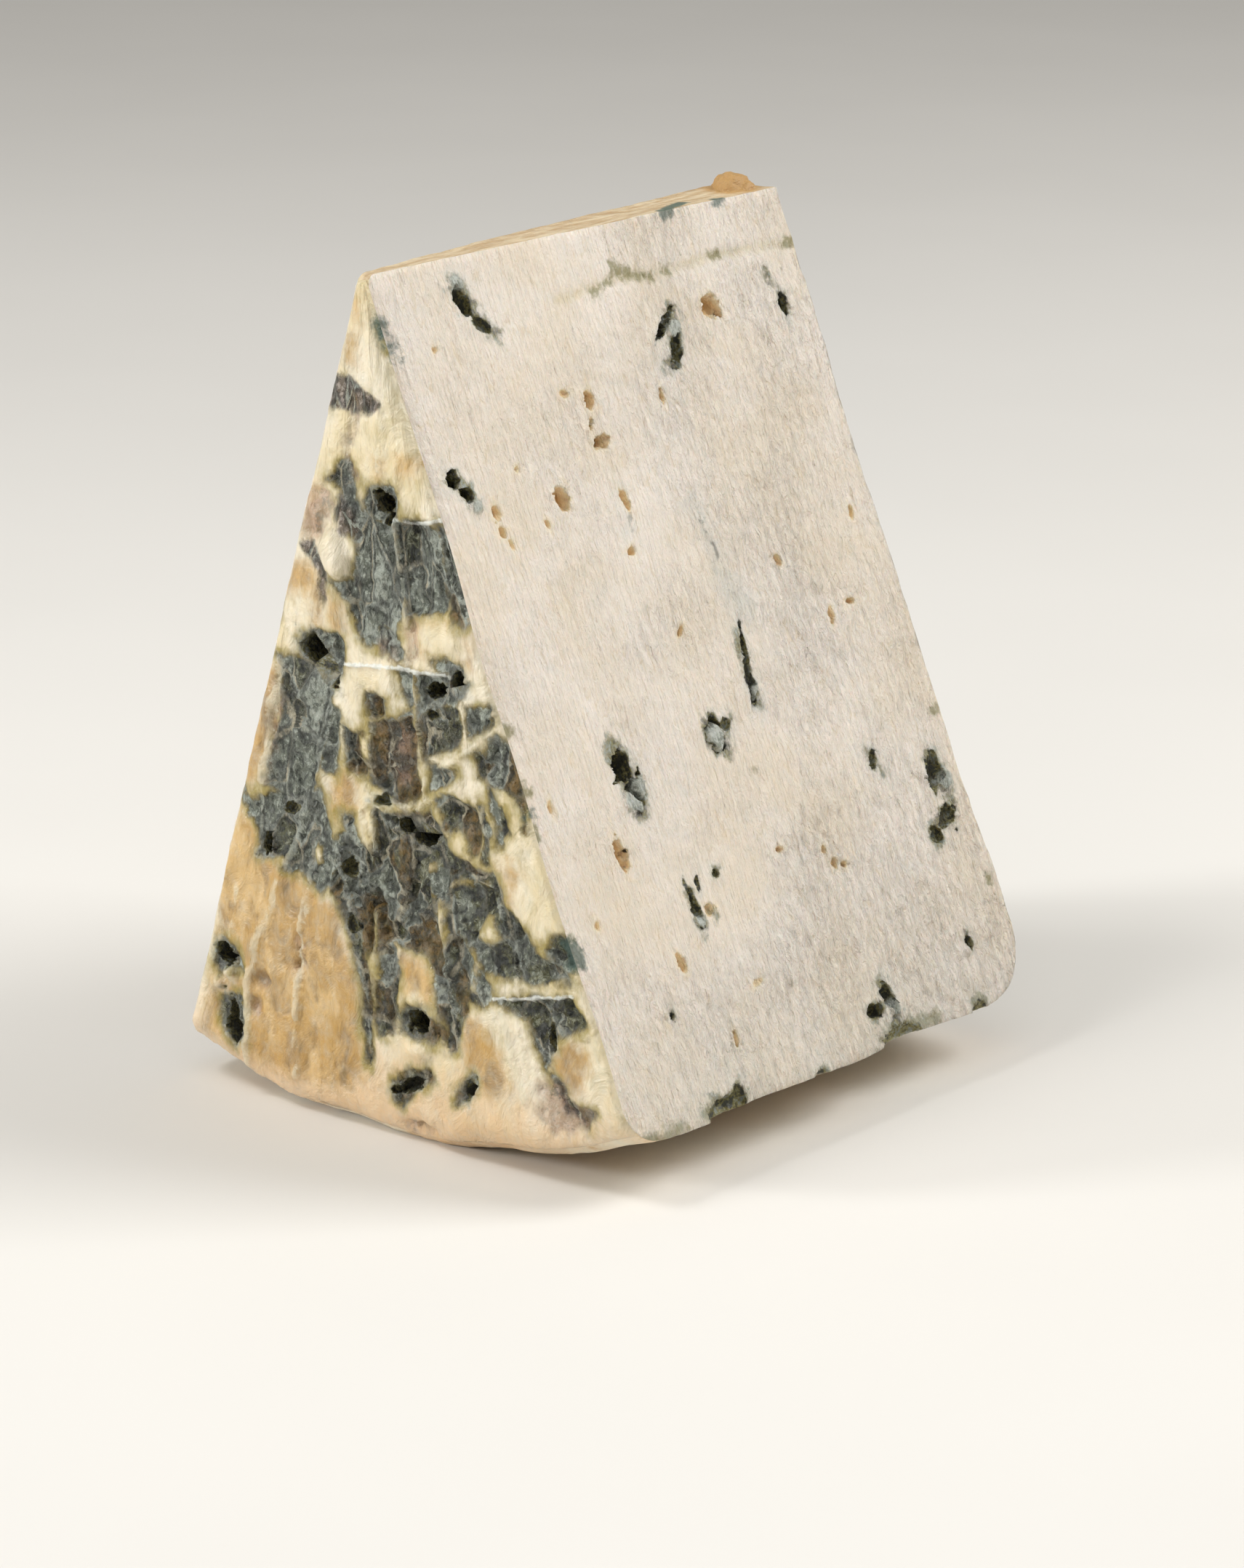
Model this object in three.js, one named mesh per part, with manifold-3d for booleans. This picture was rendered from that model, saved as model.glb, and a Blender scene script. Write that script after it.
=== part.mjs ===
// A wedge of blue cheese, sliced like a piece of cake from a low round wheel and stood on its rim.
// Millimetres, +Z up. X runs across the wedge, Y along the wheel's axis, from the flat rind that
// faces the viewer to the one behind. The origin is on the small flat foot, below the wheel's axis
// and half way through the wheel's height.
import * as THREE from 'three';
import { mergeVertices } from 'three/addons/utils/BufferGeometryUtils.js';
import Module from 'manifold-3d';

const wasm = await Module();
wasm.setup();

// Driving dimensions
const WHEEL_RADIUS = 106;
const WHEEL_HEIGHT = 73.5;
const LEFT_CUT = THREE.MathUtils.degToRad(17.2);
const RIGHT_CUT = THREE.MathUtils.degToRad(22.7);
const FOOT_DEPTH = 0.7;

// The left cut misses the wheel's axis, which leaves a narrow strip along the tip. NOSE_OFFSET is how
// far below the axis the strip lies. Its width grows backwards, and the miss fades towards the rim.
const NOSE_OFFSET = 2.6;
const NOSE_WIDTH_FRONT = 1.0;
const NOSE_WIDTH_GROWTH = 6.3;
const NOSE_WIDTH_POWER = 0.6;
const MISS_FADE = 0.6;

// Rounded edges: the front and back shoulders of the rim, the bevel beside the tip, and knife edges
const FRONT_SHOULDER = 5;
const BACK_SHOULDER = 8;
const TIP_BEVEL = 3;
const TIP_BEVEL_END = 48;
const TIP_ROUND = 1.6;
const KNIFE_EDGE = 0.5;
const WIDEST_EDGE_SHARE = 0.4;

// Unevenness of a soft, hand-turned wheel
const BACK_SAG = 1.6;
const BACK_SAG_SPAN = [48, 92];
const RIM_LUMPS = { height: 0.4, period: 19 };
const FRONT_LUMPS = { height: 0.3, period: 26 };
const BACK_LUMPS = { height: 0.35, period: 37 };
const CUT_WAVES = { height: 0.2, period: 24 };
const SMOOTH_TIP_SPAN = [4, 22];

// How finely each direction of the body is divided
const STEPS_ACROSS = 14;
const STEPS_DEEP = 15;
const STEPS_DOWN = 24;
const END_CROWDING = 0.45;

const AXIS_HEIGHT = WHEEL_RADIUS - FOOT_DEPTH;
const HALF_DEPTH = WHEEL_HEIGHT / 2;
const { smoothstep, lerp } = THREE.MathUtils;

// Holes in the right-hand cut face. depth runs from the front rind, slant from the wheel's axis;
// size is [along depth, along slant, into the cheese], tilt leans the hole's top backwards, in degrees.
const CUT_HOLES = [
  { depth: 14.6, slant: 9.4, size: [2.6, 6.5, 5], tilt: 28 },
  { depth: 17.0, slant: 12.4, size: [3.0, 1.8, 1.6], tilt: 10 },
  { depth: 5.0, slant: 28.6, size: [2.8, 5.0, 6], tilt: 35 },
  { depth: 9.5, slant: 33.4, size: [1.5, 4.2, 1.8], tilt: 6 },
  { depth: 20.5, slant: 32.5, size: [2.3, 3.4, 2.4], tilt: 10 },
  { depth: 29.6, slant: 22.8, size: [1.8, 4.2, 2.6], tilt: -6 },
  { depth: 29.6, slant: 27.4, size: [2.6, 2.2, 2.6], tilt: 0 },
  { depth: 30.6, slant: 35.2, size: [1.3, 5.2, 1.8], tilt: 8 },
  { depth: 47.0, slant: 15.6, size: [1.5, 6.0, 3.6], tilt: -52 },
  { depth: 46.9, slant: 19.2, size: [2.5, 4.6, 4.4], tilt: -28 },
  { depth: 55.4, slant: 14.8, size: [3.2, 3.2, 2.2], tilt: 20 },
  { depth: 68.1, slant: 17.0, size: [1.5, 4.4, 2.4], tilt: 0 },
  { depth: 42.6, slant: 57.6, size: [1.5, 8.6, 2.2], tilt: -8 },
  { depth: 34.0, slant: 63.6, size: [3.2, 4.8, 3.0], tilt: -16 },
  { depth: 17.2, slant: 65.4, size: [3.8, 6.8, 5.5], tilt: 14 },
  { depth: 12.2, slant: 73.8, size: [1.9, 4.8, 2.2], tilt: 4 },
  { depth: 21.4, slant: 82.2, size: [1.8, 5.4, 3.0], tilt: 12 },
  { depth: 16.5, slant: 87.5, size: [1.4, 2.3, 1.6], tilt: 14 },
  { depth: 69.8, slant: 77.0, size: [3.0, 4.6, 3.6], tilt: -14 },
  { depth: 68.6, slant: 83.2, size: [5.4, 3.4, 2.6], tilt: -38 },
  { depth: 46.6, slant: 101.4, size: [3.6, 2.2, 3.0], tilt: 0 },
  { depth: 49.6, slant: 99.6, size: [2.2, 4.2, 3.0], tilt: 0 },
  { depth: 17.6, slant: 105.4, size: [7.0, 3.0, 4.0], tilt: -8 },
  { depth: 34.0, slant: 107.2, size: [3.4, 3.4, 3.2], tilt: 0 },
  { depth: 50.5, slant: 106.2, size: [9.0, 3.2, 4.0], tilt: 8 },
];

// Holes in the front rind, by x and height above the foot. size is [across, upright, into the cheese].
const RIND_HOLES = [
  { x: 3.4, z: 76.4, size: [3.0, 3.8, 7], tilt: 0 },
  { x: -7.6, z: 57.4, size: [4.6, 3.8, 7], tilt: 22 },
  { x: -4.9, z: 54.6, size: [1.8, 2.4, 4], tilt: 0 },
  { x: 11.4, z: 56.4, size: [3.4, 1.8, 4], tilt: -20 },
  { x: 14.7, z: 57.8, size: [2.4, 2.2, 5], tilt: -20 },
  { x: 8.6, z: 38.4, size: [5.4, 2.8, 7], tilt: -12 },
  { x: -16.2, z: 33.8, size: [1.9, 4.6, 4], tilt: -14 },
  { x: -23.6, z: 17.9, size: [4.2, 3.0, 4], tilt: 20 },
  { x: -22.2, z: 10.6, size: [2.8, 8.2, 4], tilt: 4 },
  { x: 8.3, z: 15.5, size: [4.0, 2.8, 4], tilt: 12 },
  { x: 6.2, z: 7.0, size: [5.0, 1.8, 2.4], tilt: -14 },
  { x: 16.0, z: 9.0, size: [1.8, 3.2, 2.0], tilt: -24 },
];

// Raised lines that creased wrapping pressed into the front rind: ends by x and height, and width
const RIDGES = [
  { from: [5.3, 74], to: [8.0, 56], width: 1.2 },
  { from: [8.0, 56], to: [9.6, 42], width: 1.0 },
  { from: [-3.3, 57.0], to: [14.5, 58.1], width: 0.8 },
  { from: [0.9, 54.5], to: [0.6, 45], width: 1.3 },
  { from: [-6.2, 53], to: [-7.6, 40], width: 1.4 },
  { from: [-9.6, 39], to: [-17.5, 20], width: 1.5 },
  { from: [-13.2, 55], to: [-16.6, 41], width: 2.0 },
  { from: [-10.4, 28], to: [-11.8, 6], width: 1.3 },
  { from: [-4.6, 33], to: [0.0, 17], width: 1.2 },
  { from: [0.0, 17], to: [0.2, 6], width: 1.0 },
  { from: [17.0, 46], to: [20.6, 37], width: 1.3 },
  { from: [9.8, 35], to: [5.4, 23], width: 1.6 },
  { from: [20.2, 21.8], to: [31.4, 24.6], width: 1.2 },
  { from: [20.8, 34], to: [26.4, 13], width: 1.2 },
  { from: [21.0, 20], to: [24.6, 10], width: 2.2 },
  { from: [11.6, 30], to: [14.2, 12], width: 1.4 },
];
const RIDGE_HEIGHT = 0.55;
const RIDGE_SIDES = 6;

// Lumps that stand proud: a pale blister on the rind and the dried crust at the back of the tip
const BLISTER = { x: -4.2, z: 69.6, size: [4.6, 7.2, 2.0], tilt: 18 };
const CRUST = { centre: [-3.4, 33.6, 102.2], size: [5.6, 5.2, 4.9] };

// The faces turned away from the viewer are finished by rule: holes scattered over the left-hand cut,
// and holes and creases over the back rind, one to each cell of a grid
const LEFT_GRID = { columns: 3, rows: 4, slant: [16, 100], depth: [6, 68], seed: 40 };
const BACK_GRID = { columns: 2, rows: 3, x: [-17, 27], z: [12, 66], seed: 70 };
const BACK_CREASES = { count: 6, x: [-18, 31], foot: [10, 30], length: [14, 34], width: 1.4, seed: 90 };
const SCATTERED_SIZE = { wide: [1.5, 3.3], tall: [2.6, 6.4], deep: [2.4, 4.8], lean: 70 };
const CELL_MARGIN = 0.2;

// Pebbles with more triangles are used where a hole or lump is longer than LARGE_HOLE
const LARGE_HOLE = 5.2;
const LARGE_DETAIL = 2;
const SMALL_DETAIL = 1;
const PEBBLE_ROUGHNESS = { soft: 0.1, sharp: 0.13, bumps: 6.4 };
const PEBBLE_SEED = { crust: 5, blister: 3 };
const SHARE_TOLERANCE = 1e-6;
const MERGE_TOLERANCE = 1e-5;

function hash(n) {
  const wave = Math.sin(n * 127.1 + 11.7) * 43758.5453;
  return wave - Math.floor(wave);
}

function between([low, high], share) {
  return low + (high - low) * share;
}

// Soft unevenness between -1 and 1 with a period of about the given size
function lumps(p, q, size) {
  const u = p / size;
  const v = q / size;
  const first = Math.sin(u * 5.1 + 1.3 * Math.sin(v * 3.7));
  const second = Math.sin(v * 4.3 + 1.7 * Math.sin(u * 2.9 + 0.6));
  return 0.5 * (first + second);
}

// Where a point at distance p from one face and q from the other goes when their edge is rounded.
// Points under the surface turn in smaller arcs round the same centre, so the third face stays flat.
function roundedEdge(p, q, radius) {
  const layer = Math.min(p, q);
  const inner = radius - layer;
  const away = Math.abs(p - q);
  if (away >= inner) return [p, q];
  const turn = (Math.PI / 4) * (1 - away / inner);
  const along = layer + inner * (1 - Math.sin(turn));
  const inward = layer + inner * (1 - Math.cos(turn));
  return p > q ? [along, inward] : [inward, along];
}

function crowded(unit) {
  return unit - (END_CROWDING * Math.sin(2 * Math.PI * unit)) / (2 * Math.PI);
}

function tipBevel(slant) {
  return lerp(TIP_BEVEL, KNIFE_EDGE, smoothstep(slant, TIP_BEVEL_END / 3, TIP_BEVEL_END));
}

// How far the left cut lies to the left of one through the wheel's axis
function leftShift(deep, slant) {
  const width = NOSE_WIDTH_FRONT + NOSE_WIDTH_GROWTH * Math.pow(deep / WHEEL_HEIGHT, NOSE_WIDTH_POWER);
  const aimed = NOSE_OFFSET * (Math.sin(LEFT_CUT) + Math.sin(RIGHT_CUT));
  return (width - aimed) * (1 - MISS_FADE * slant / WHEEL_RADIUS);
}

// A point of the wedge from three shares: across from left to right, down from tip to rim, and deep
// from front to back
function bodyPoint(across, down, deep, target) {
  const length = WHEEL_RADIUS - NOSE_OFFSET;
  let toTip = length * down;
  let toRim = length - toTip;
  let toFront = WHEEL_HEIGHT * deep;
  let toBack = WHEEL_HEIGHT - toFront;
  if (toFront < toBack) {
    [toRim, toFront] = roundedEdge(toRim, toFront, FRONT_SHOULDER);
    if (toTip < toRim) {
      [toTip, toFront] = roundedEdge(toTip, toFront, TIP_ROUND);
      toRim = length - toTip;
    }
  } else {
    [toRim, toBack] = roundedEdge(toRim, toBack, BACK_SHOULDER);
    toFront = WHEEL_HEIGHT - toBack;
  }
  const slant = WHEEL_RADIUS - toRim;
  const angle = lerp(-LEFT_CUT, RIGHT_CUT, across);
  const chord = slant * (LEFT_CUT + RIGHT_CUT);
  const widest = chord * WIDEST_EDGE_SHARE;
  let toRight = chord * (1 - across);
  let toLeft = chord * across;
  [toRight, toFront] = roundedEdge(toRight, toFront, Math.min(tipBevel(slant), widest));
  [toLeft, toFront] = roundedEdge(toLeft, toFront, Math.min(KNIFE_EDGE, widest));
  const moved = across > 0.5 ? 1 - toRight / chord : toLeft / chord;
  const turned = lerp(-LEFT_CUT, RIGHT_CUT, moved);
  target.set(
    slant * Math.sin(turned) - leftShift(toFront, slant) * (1 - moved),
    toFront - HALF_DEPTH,
    AXIS_HEIGHT - slant * Math.cos(turned),
  );
  return {
    slant,
    angle,
    rim: down === 1,
    front: deep === 0,
    back: deep === 1,
    side: across === 0 || across === 1,
  };
}

function unevenness({ height, period }, p, q) {
  return height * lumps(p, q, period);
}

function backSag(slant) {
  return BACK_SAG * smoothstep(slant, ...BACK_SAG_SPAN);
}

function addUnevenness(point, place) {
  const { x, y, z } = point;
  const belowTip = smoothstep(place.slant, ...SMOOTH_TIP_SPAN);
  if (place.front) point.y += unevenness(FRONT_LUMPS, x, z) * belowTip;
  if (place.back) point.y += backSag(place.slant) + unevenness(BACK_LUMPS, x, z) * belowTip;
  if (place.rim) {
    const swell = unevenness(RIM_LUMPS, x, y);
    point.x += swell * Math.sin(place.angle);
    point.z -= swell * Math.cos(place.angle);
  }
  if (place.side && !place.front) point.x += unevenness(CUT_WAVES, y, z) * belowTip;
}

function bodyGeometry() {
  const geometry = new THREE.BoxGeometry(1, 1, 1, STEPS_ACROSS, STEPS_DEEP, STEPS_DOWN);
  geometry.deleteAttribute('normal');
  geometry.deleteAttribute('uv');
  const merged = mergeVertices(geometry);
  const position = merged.attributes.position;
  const point = new THREE.Vector3();
  for (let i = 0; i < position.count; i++) {
    const across = crowded(position.getX(i) + 0.5);
    const deep = crowded(position.getY(i) + 0.5);
    const down = crowded(0.5 - position.getZ(i));
    const place = bodyPoint(snapped(across), snapped(down), snapped(deep), point);
    addUnevenness(point, place);
    position.setXYZ(i, point.x, point.y, point.z);
  }
  return merged;
}

function snapped(share) {
  if (share < SHARE_TOLERANCE) return 0;
  return share > 1 - SHARE_TOLERANCE ? 1 : share;
}

function toSolid(geometry) {
  return new wasm.Manifold(new wasm.Mesh({
    numProp: 3,
    vertProperties: Float32Array.from(geometry.attributes.position.array),
    triVerts: Uint32Array.from(geometry.index.array),
  }));
}

function toGeometry(solid) {
  const mesh = solid.getMesh();
  const geometry = new THREE.BufferGeometry();
  geometry.setAttribute('position', new THREE.BufferAttribute(Float32Array.from(mesh.vertProperties), 3));
  geometry.setIndex(new THREE.BufferAttribute(Uint32Array.from(mesh.triVerts), 1));
  return geometry;
}

function bareMerged(geometry) {
  geometry.deleteAttribute('normal');
  geometry.deleteAttribute('uv');
  return mergeVertices(geometry, MERGE_TOLERANCE);
}

// A lumpy pebble of the given size, used to hollow holes out and for the lumps
function pebble(size, matrix, seed) {
  const detail = Math.max(size[0], size[1]) > LARGE_HOLE ? LARGE_DETAIL : SMALL_DETAIL;
  const geometry = bareMerged(new THREE.IcosahedronGeometry(0.5, detail));
  const position = geometry.attributes.position;
  const point = new THREE.Vector3();
  const { soft, sharp, bumps } = PEBBLE_ROUGHNESS;
  for (let i = 0; i < position.count; i++) {
    point.fromBufferAttribute(position, i);
    const swell = lumps(point.x * bumps + seed, (point.y + point.z) * bumps, 1);
    point.multiplyScalar(1 + soft * swell + sharp * (hash(i + position.count * seed) - 0.5));
    point.multiply(new THREE.Vector3(...size)).applyMatrix4(matrix);
    position.setXYZ(i, point.x, point.y, point.z);
  }
  return toSolid(geometry);
}

// A frame on a face: x along it, y up it, z out of it
function faceFrame(origin, along, up, tilt) {
  const out = new THREE.Vector3().crossVectors(along, up);
  const matrix = new THREE.Matrix4().makeBasis(along, up, out).setPosition(origin);
  return matrix.multiply(new THREE.Matrix4().makeRotationZ(THREE.MathUtils.degToRad(tilt)));
}

// Frames at a place on each of the four faces that have holes or creases
function onCut({ depth, slant, tilt }) {
  const along = new THREE.Vector3(0, 1, 0);
  const up = new THREE.Vector3(-Math.sin(RIGHT_CUT), 0, Math.cos(RIGHT_CUT));
  const origin = new THREE.Vector3(0, depth - HALF_DEPTH, AXIS_HEIGHT).addScaledVector(up, -slant);
  return faceFrame(origin, along, up, tilt);
}

function onLeft({ depth, slant, tilt }) {
  const along = new THREE.Vector3(0, -1, 0);
  const up = new THREE.Vector3(Math.sin(LEFT_CUT), 0, Math.cos(LEFT_CUT));
  const missed = leftShift(depth, slant);
  const origin = new THREE.Vector3(-missed, depth - HALF_DEPTH, AXIS_HEIGHT).addScaledVector(up, -slant);
  return faceFrame(origin, along, up, tilt);
}

function onRind({ x, z, tilt }) {
  const along = new THREE.Vector3(1, 0, 0);
  return faceFrame(new THREE.Vector3(x, -HALF_DEPTH, z), along, new THREE.Vector3(0, 0, 1), tilt);
}

function onBack({ x, z, tilt }) {
  const along = new THREE.Vector3(-1, 0, 0);
  const deep = HALF_DEPTH + backSag(AXIS_HEIGHT - z);
  return faceFrame(new THREE.Vector3(x, deep, z), along, new THREE.Vector3(0, 0, 1), tilt);
}

// One hole in each cell of a grid, moved about inside its cell
function scattered(grid, place) {
  const { wide, tall, deep, lean } = SCATTERED_SIZE;
  const inCell = (n) => lerp(CELL_MARGIN, 1 - CELL_MARGIN, hash(n));
  const found = [];
  for (let row = 0; row < grid.rows; row++) {
    for (let column = 0; column < grid.columns; column++) {
      const n = grid.seed + row * grid.columns + column;
      const first = (column + inCell(n)) / grid.columns;
      const second = (row + inCell(n + 0.5)) / grid.rows;
      const tilt = lean * (hash(n + 0.9) - 0.5);
      const size = [wide, tall, deep].map((range, i) => between(range, hash(n + 0.25 * (i + 1))));
      found.push({ ...place(first, second), size, tilt });
    }
  }
  return found;
}

function leftHoles() {
  return scattered(LEFT_GRID, (first, second) => (
    { depth: between(LEFT_GRID.depth, first), slant: between(LEFT_GRID.slant, second) }));
}

// The back rind narrows towards the tip, so what lies on it leans in with it
function leaned(x, z) {
  return x * (1 - z / AXIS_HEIGHT);
}

function backHoles() {
  return scattered(BACK_GRID, (first, second) => {
    const z = between(BACK_GRID.z, second);
    return { x: leaned(between(BACK_GRID.x, first), z), z };
  });
}

function backCreases() {
  const { count, x, foot, length, width, seed } = BACK_CREASES;
  return Array.from({ length: count }, (_, i) => {
    const low = between(foot, hash(seed + i));
    const high = low + between(length, hash(seed + i + 0.5));
    const start = between(x, (i + 0.5) / count);
    return { from: [leaned(start, low), low], to: [leaned(start, high), high], width };
  });
}

// A hole is a pebble twice as deep as the hole, centred on the face
function hole(feature, frame, seed) {
  const [wide, tall, deep] = feature.size;
  return pebble([wide, tall, 2 * deep], frame, seed);
}

// A ridge is a flat bar half sunk into its face. Seen from outside, the back's x runs the other way.
function ridge({ from, to, width }, onFace) {
  const [x, z] = [(from[0] + to[0]) / 2, (from[1] + to[1]) / 2];
  const [run, rise] = [to[0] - from[0], to[1] - from[1]];
  const lean = THREE.MathUtils.radToDeg(Math.atan2(-run, rise));
  const frame = onFace({ x, z, tilt: onFace === onBack ? -lean : lean });
  const bar = bareMerged(new THREE.CylinderGeometry(0.5, 0.5, 1, RIDGE_SIDES, 1));
  bar.applyMatrix4(frame.scale(new THREE.Vector3(width, Math.hypot(run, rise), 2 * RIDGE_HEIGHT)));
  return toSolid(bar);
}

function crust() {
  return pebble(CRUST.size, new THREE.Matrix4().setPosition(...CRUST.centre), PEBBLE_SEED.crust);
}

function blister() {
  return pebble(BLISTER.size, onRind(BLISTER), PEBBLE_SEED.blister);
}

function floorBlock() {
  const side = 4 * WHEEL_RADIUS;
  return toSolid(bareMerged(new THREE.BoxGeometry(side, side, side).translate(0, 0, -side / 2)));
}

function ridges() {
  return [
    ...RIDGES.map((line) => ridge(line, onRind)),
    ...backCreases().map((line) => ridge(line, onBack)),
  ];
}

function holes() {
  const faces = [
    [CUT_HOLES, onCut],
    [RIND_HOLES, onRind],
    [leftHoles(), onLeft],
    [backHoles(), onBack],
  ];
  return faces.flatMap(([features, onFace]) => (
    features.map((feature, i) => hole(feature, onFace(feature), i + features.length))));
}

// The loose scraps that a hole leaves at an edge are dropped
function cheese() {
  const whole = wasm.Manifold.union([toSolid(bodyGeometry()), ...ridges(), blister(), crust()]);
  const solid = whole.subtract(wasm.Manifold.union([...holes(), floorBlock()]));
  const pieces = solid.decompose().sort((a, b) => b.volume() - a.volume());
  const mesh = new THREE.Mesh(toGeometry(pieces[0]), new THREE.MeshStandardMaterial({
    color: 0xe9dfca,
    roughness: 0.55,
    metalness: 0,
  }));
  mesh.name = 'cheese_wedge';
  return mesh;
}

const wedge = new THREE.Group();
wedge.add(cheese());

export default wedge;
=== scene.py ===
import math
from collections import namedtuple

import bmesh
import bpy
import numpy as np
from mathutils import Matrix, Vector, noise


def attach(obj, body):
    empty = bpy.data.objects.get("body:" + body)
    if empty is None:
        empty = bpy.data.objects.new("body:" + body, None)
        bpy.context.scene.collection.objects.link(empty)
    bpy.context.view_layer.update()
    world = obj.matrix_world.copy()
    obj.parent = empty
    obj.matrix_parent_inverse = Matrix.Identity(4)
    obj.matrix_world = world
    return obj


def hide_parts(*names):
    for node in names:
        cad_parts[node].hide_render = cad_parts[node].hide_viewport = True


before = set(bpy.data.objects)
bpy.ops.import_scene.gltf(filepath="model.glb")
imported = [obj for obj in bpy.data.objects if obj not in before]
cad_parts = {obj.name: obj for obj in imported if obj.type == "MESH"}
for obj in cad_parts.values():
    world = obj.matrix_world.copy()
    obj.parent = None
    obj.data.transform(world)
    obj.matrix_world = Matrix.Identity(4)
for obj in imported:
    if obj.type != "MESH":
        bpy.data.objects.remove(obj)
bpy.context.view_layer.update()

bl_info = {
    "name": "Blue cheese wedge",
    "version": (1, 0, 0),
    "blender": (4, 5, 0),
    "location": "3D View > Sidebar > Cheese",
    "description": "Makes a wedge of blue cheese with a mouldy natural rind and torn, pitted cut faces",
    "category": "Add Mesh",
}

MM = 0.001
NODE = "cheese_wedge"

# Millimetres from here on, in the frame's axes: X across the wedge, Y along the wheel's axis, away from
# the rind that faces the viewer, and Z up from the foot. Angles are in degrees.
WHEEL_RADIUS = 106.0
WHEEL_HEIGHT = 73.5
LEFT_CUT = 17.2
RIGHT_CUT = 22.7
FOOT_DEPTH = 0.7

# The left cut misses the wheel's axis, which leaves a narrow strip along the tip
NOSE_OFFSET = 2.6
NOSE_WIDTH_FRONT = 1.0
NOSE_WIDTH_GROWTH = 6.3
NOSE_WIDTH_POWER = 0.6
MISS_FADE = 0.6

# Rounded edges
FRONT_SHOULDER = 5.0
BACK_SHOULDER = 8.0
TIP_BEVEL = 3.0
TIP_BEVEL_SPAN = (16.0, 48.0)
TIP_ROUND = 1.6
KNIFE_EDGE = 0.5
WIDEST_EDGE_SHARE = 0.4

# Unevenness of a soft, hand-turned wheel
BACK_SAG = 1.6
BACK_SAG_SPAN = (48.0, 92.0)
RIM_LUMPS = (0.4, 19.0)
FRONT_LUMPS = (0.3, 26.0)
BACK_LUMPS = (0.35, 37.0)
CUT_WAVES = (0.2, 24.0)
SMOOTH_TIP_SPAN = (4.0, 22.0)
LUMP_REACH = 10.0

AXIS_HEIGHT = WHEEL_RADIUS - FOOT_DEPTH

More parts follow.
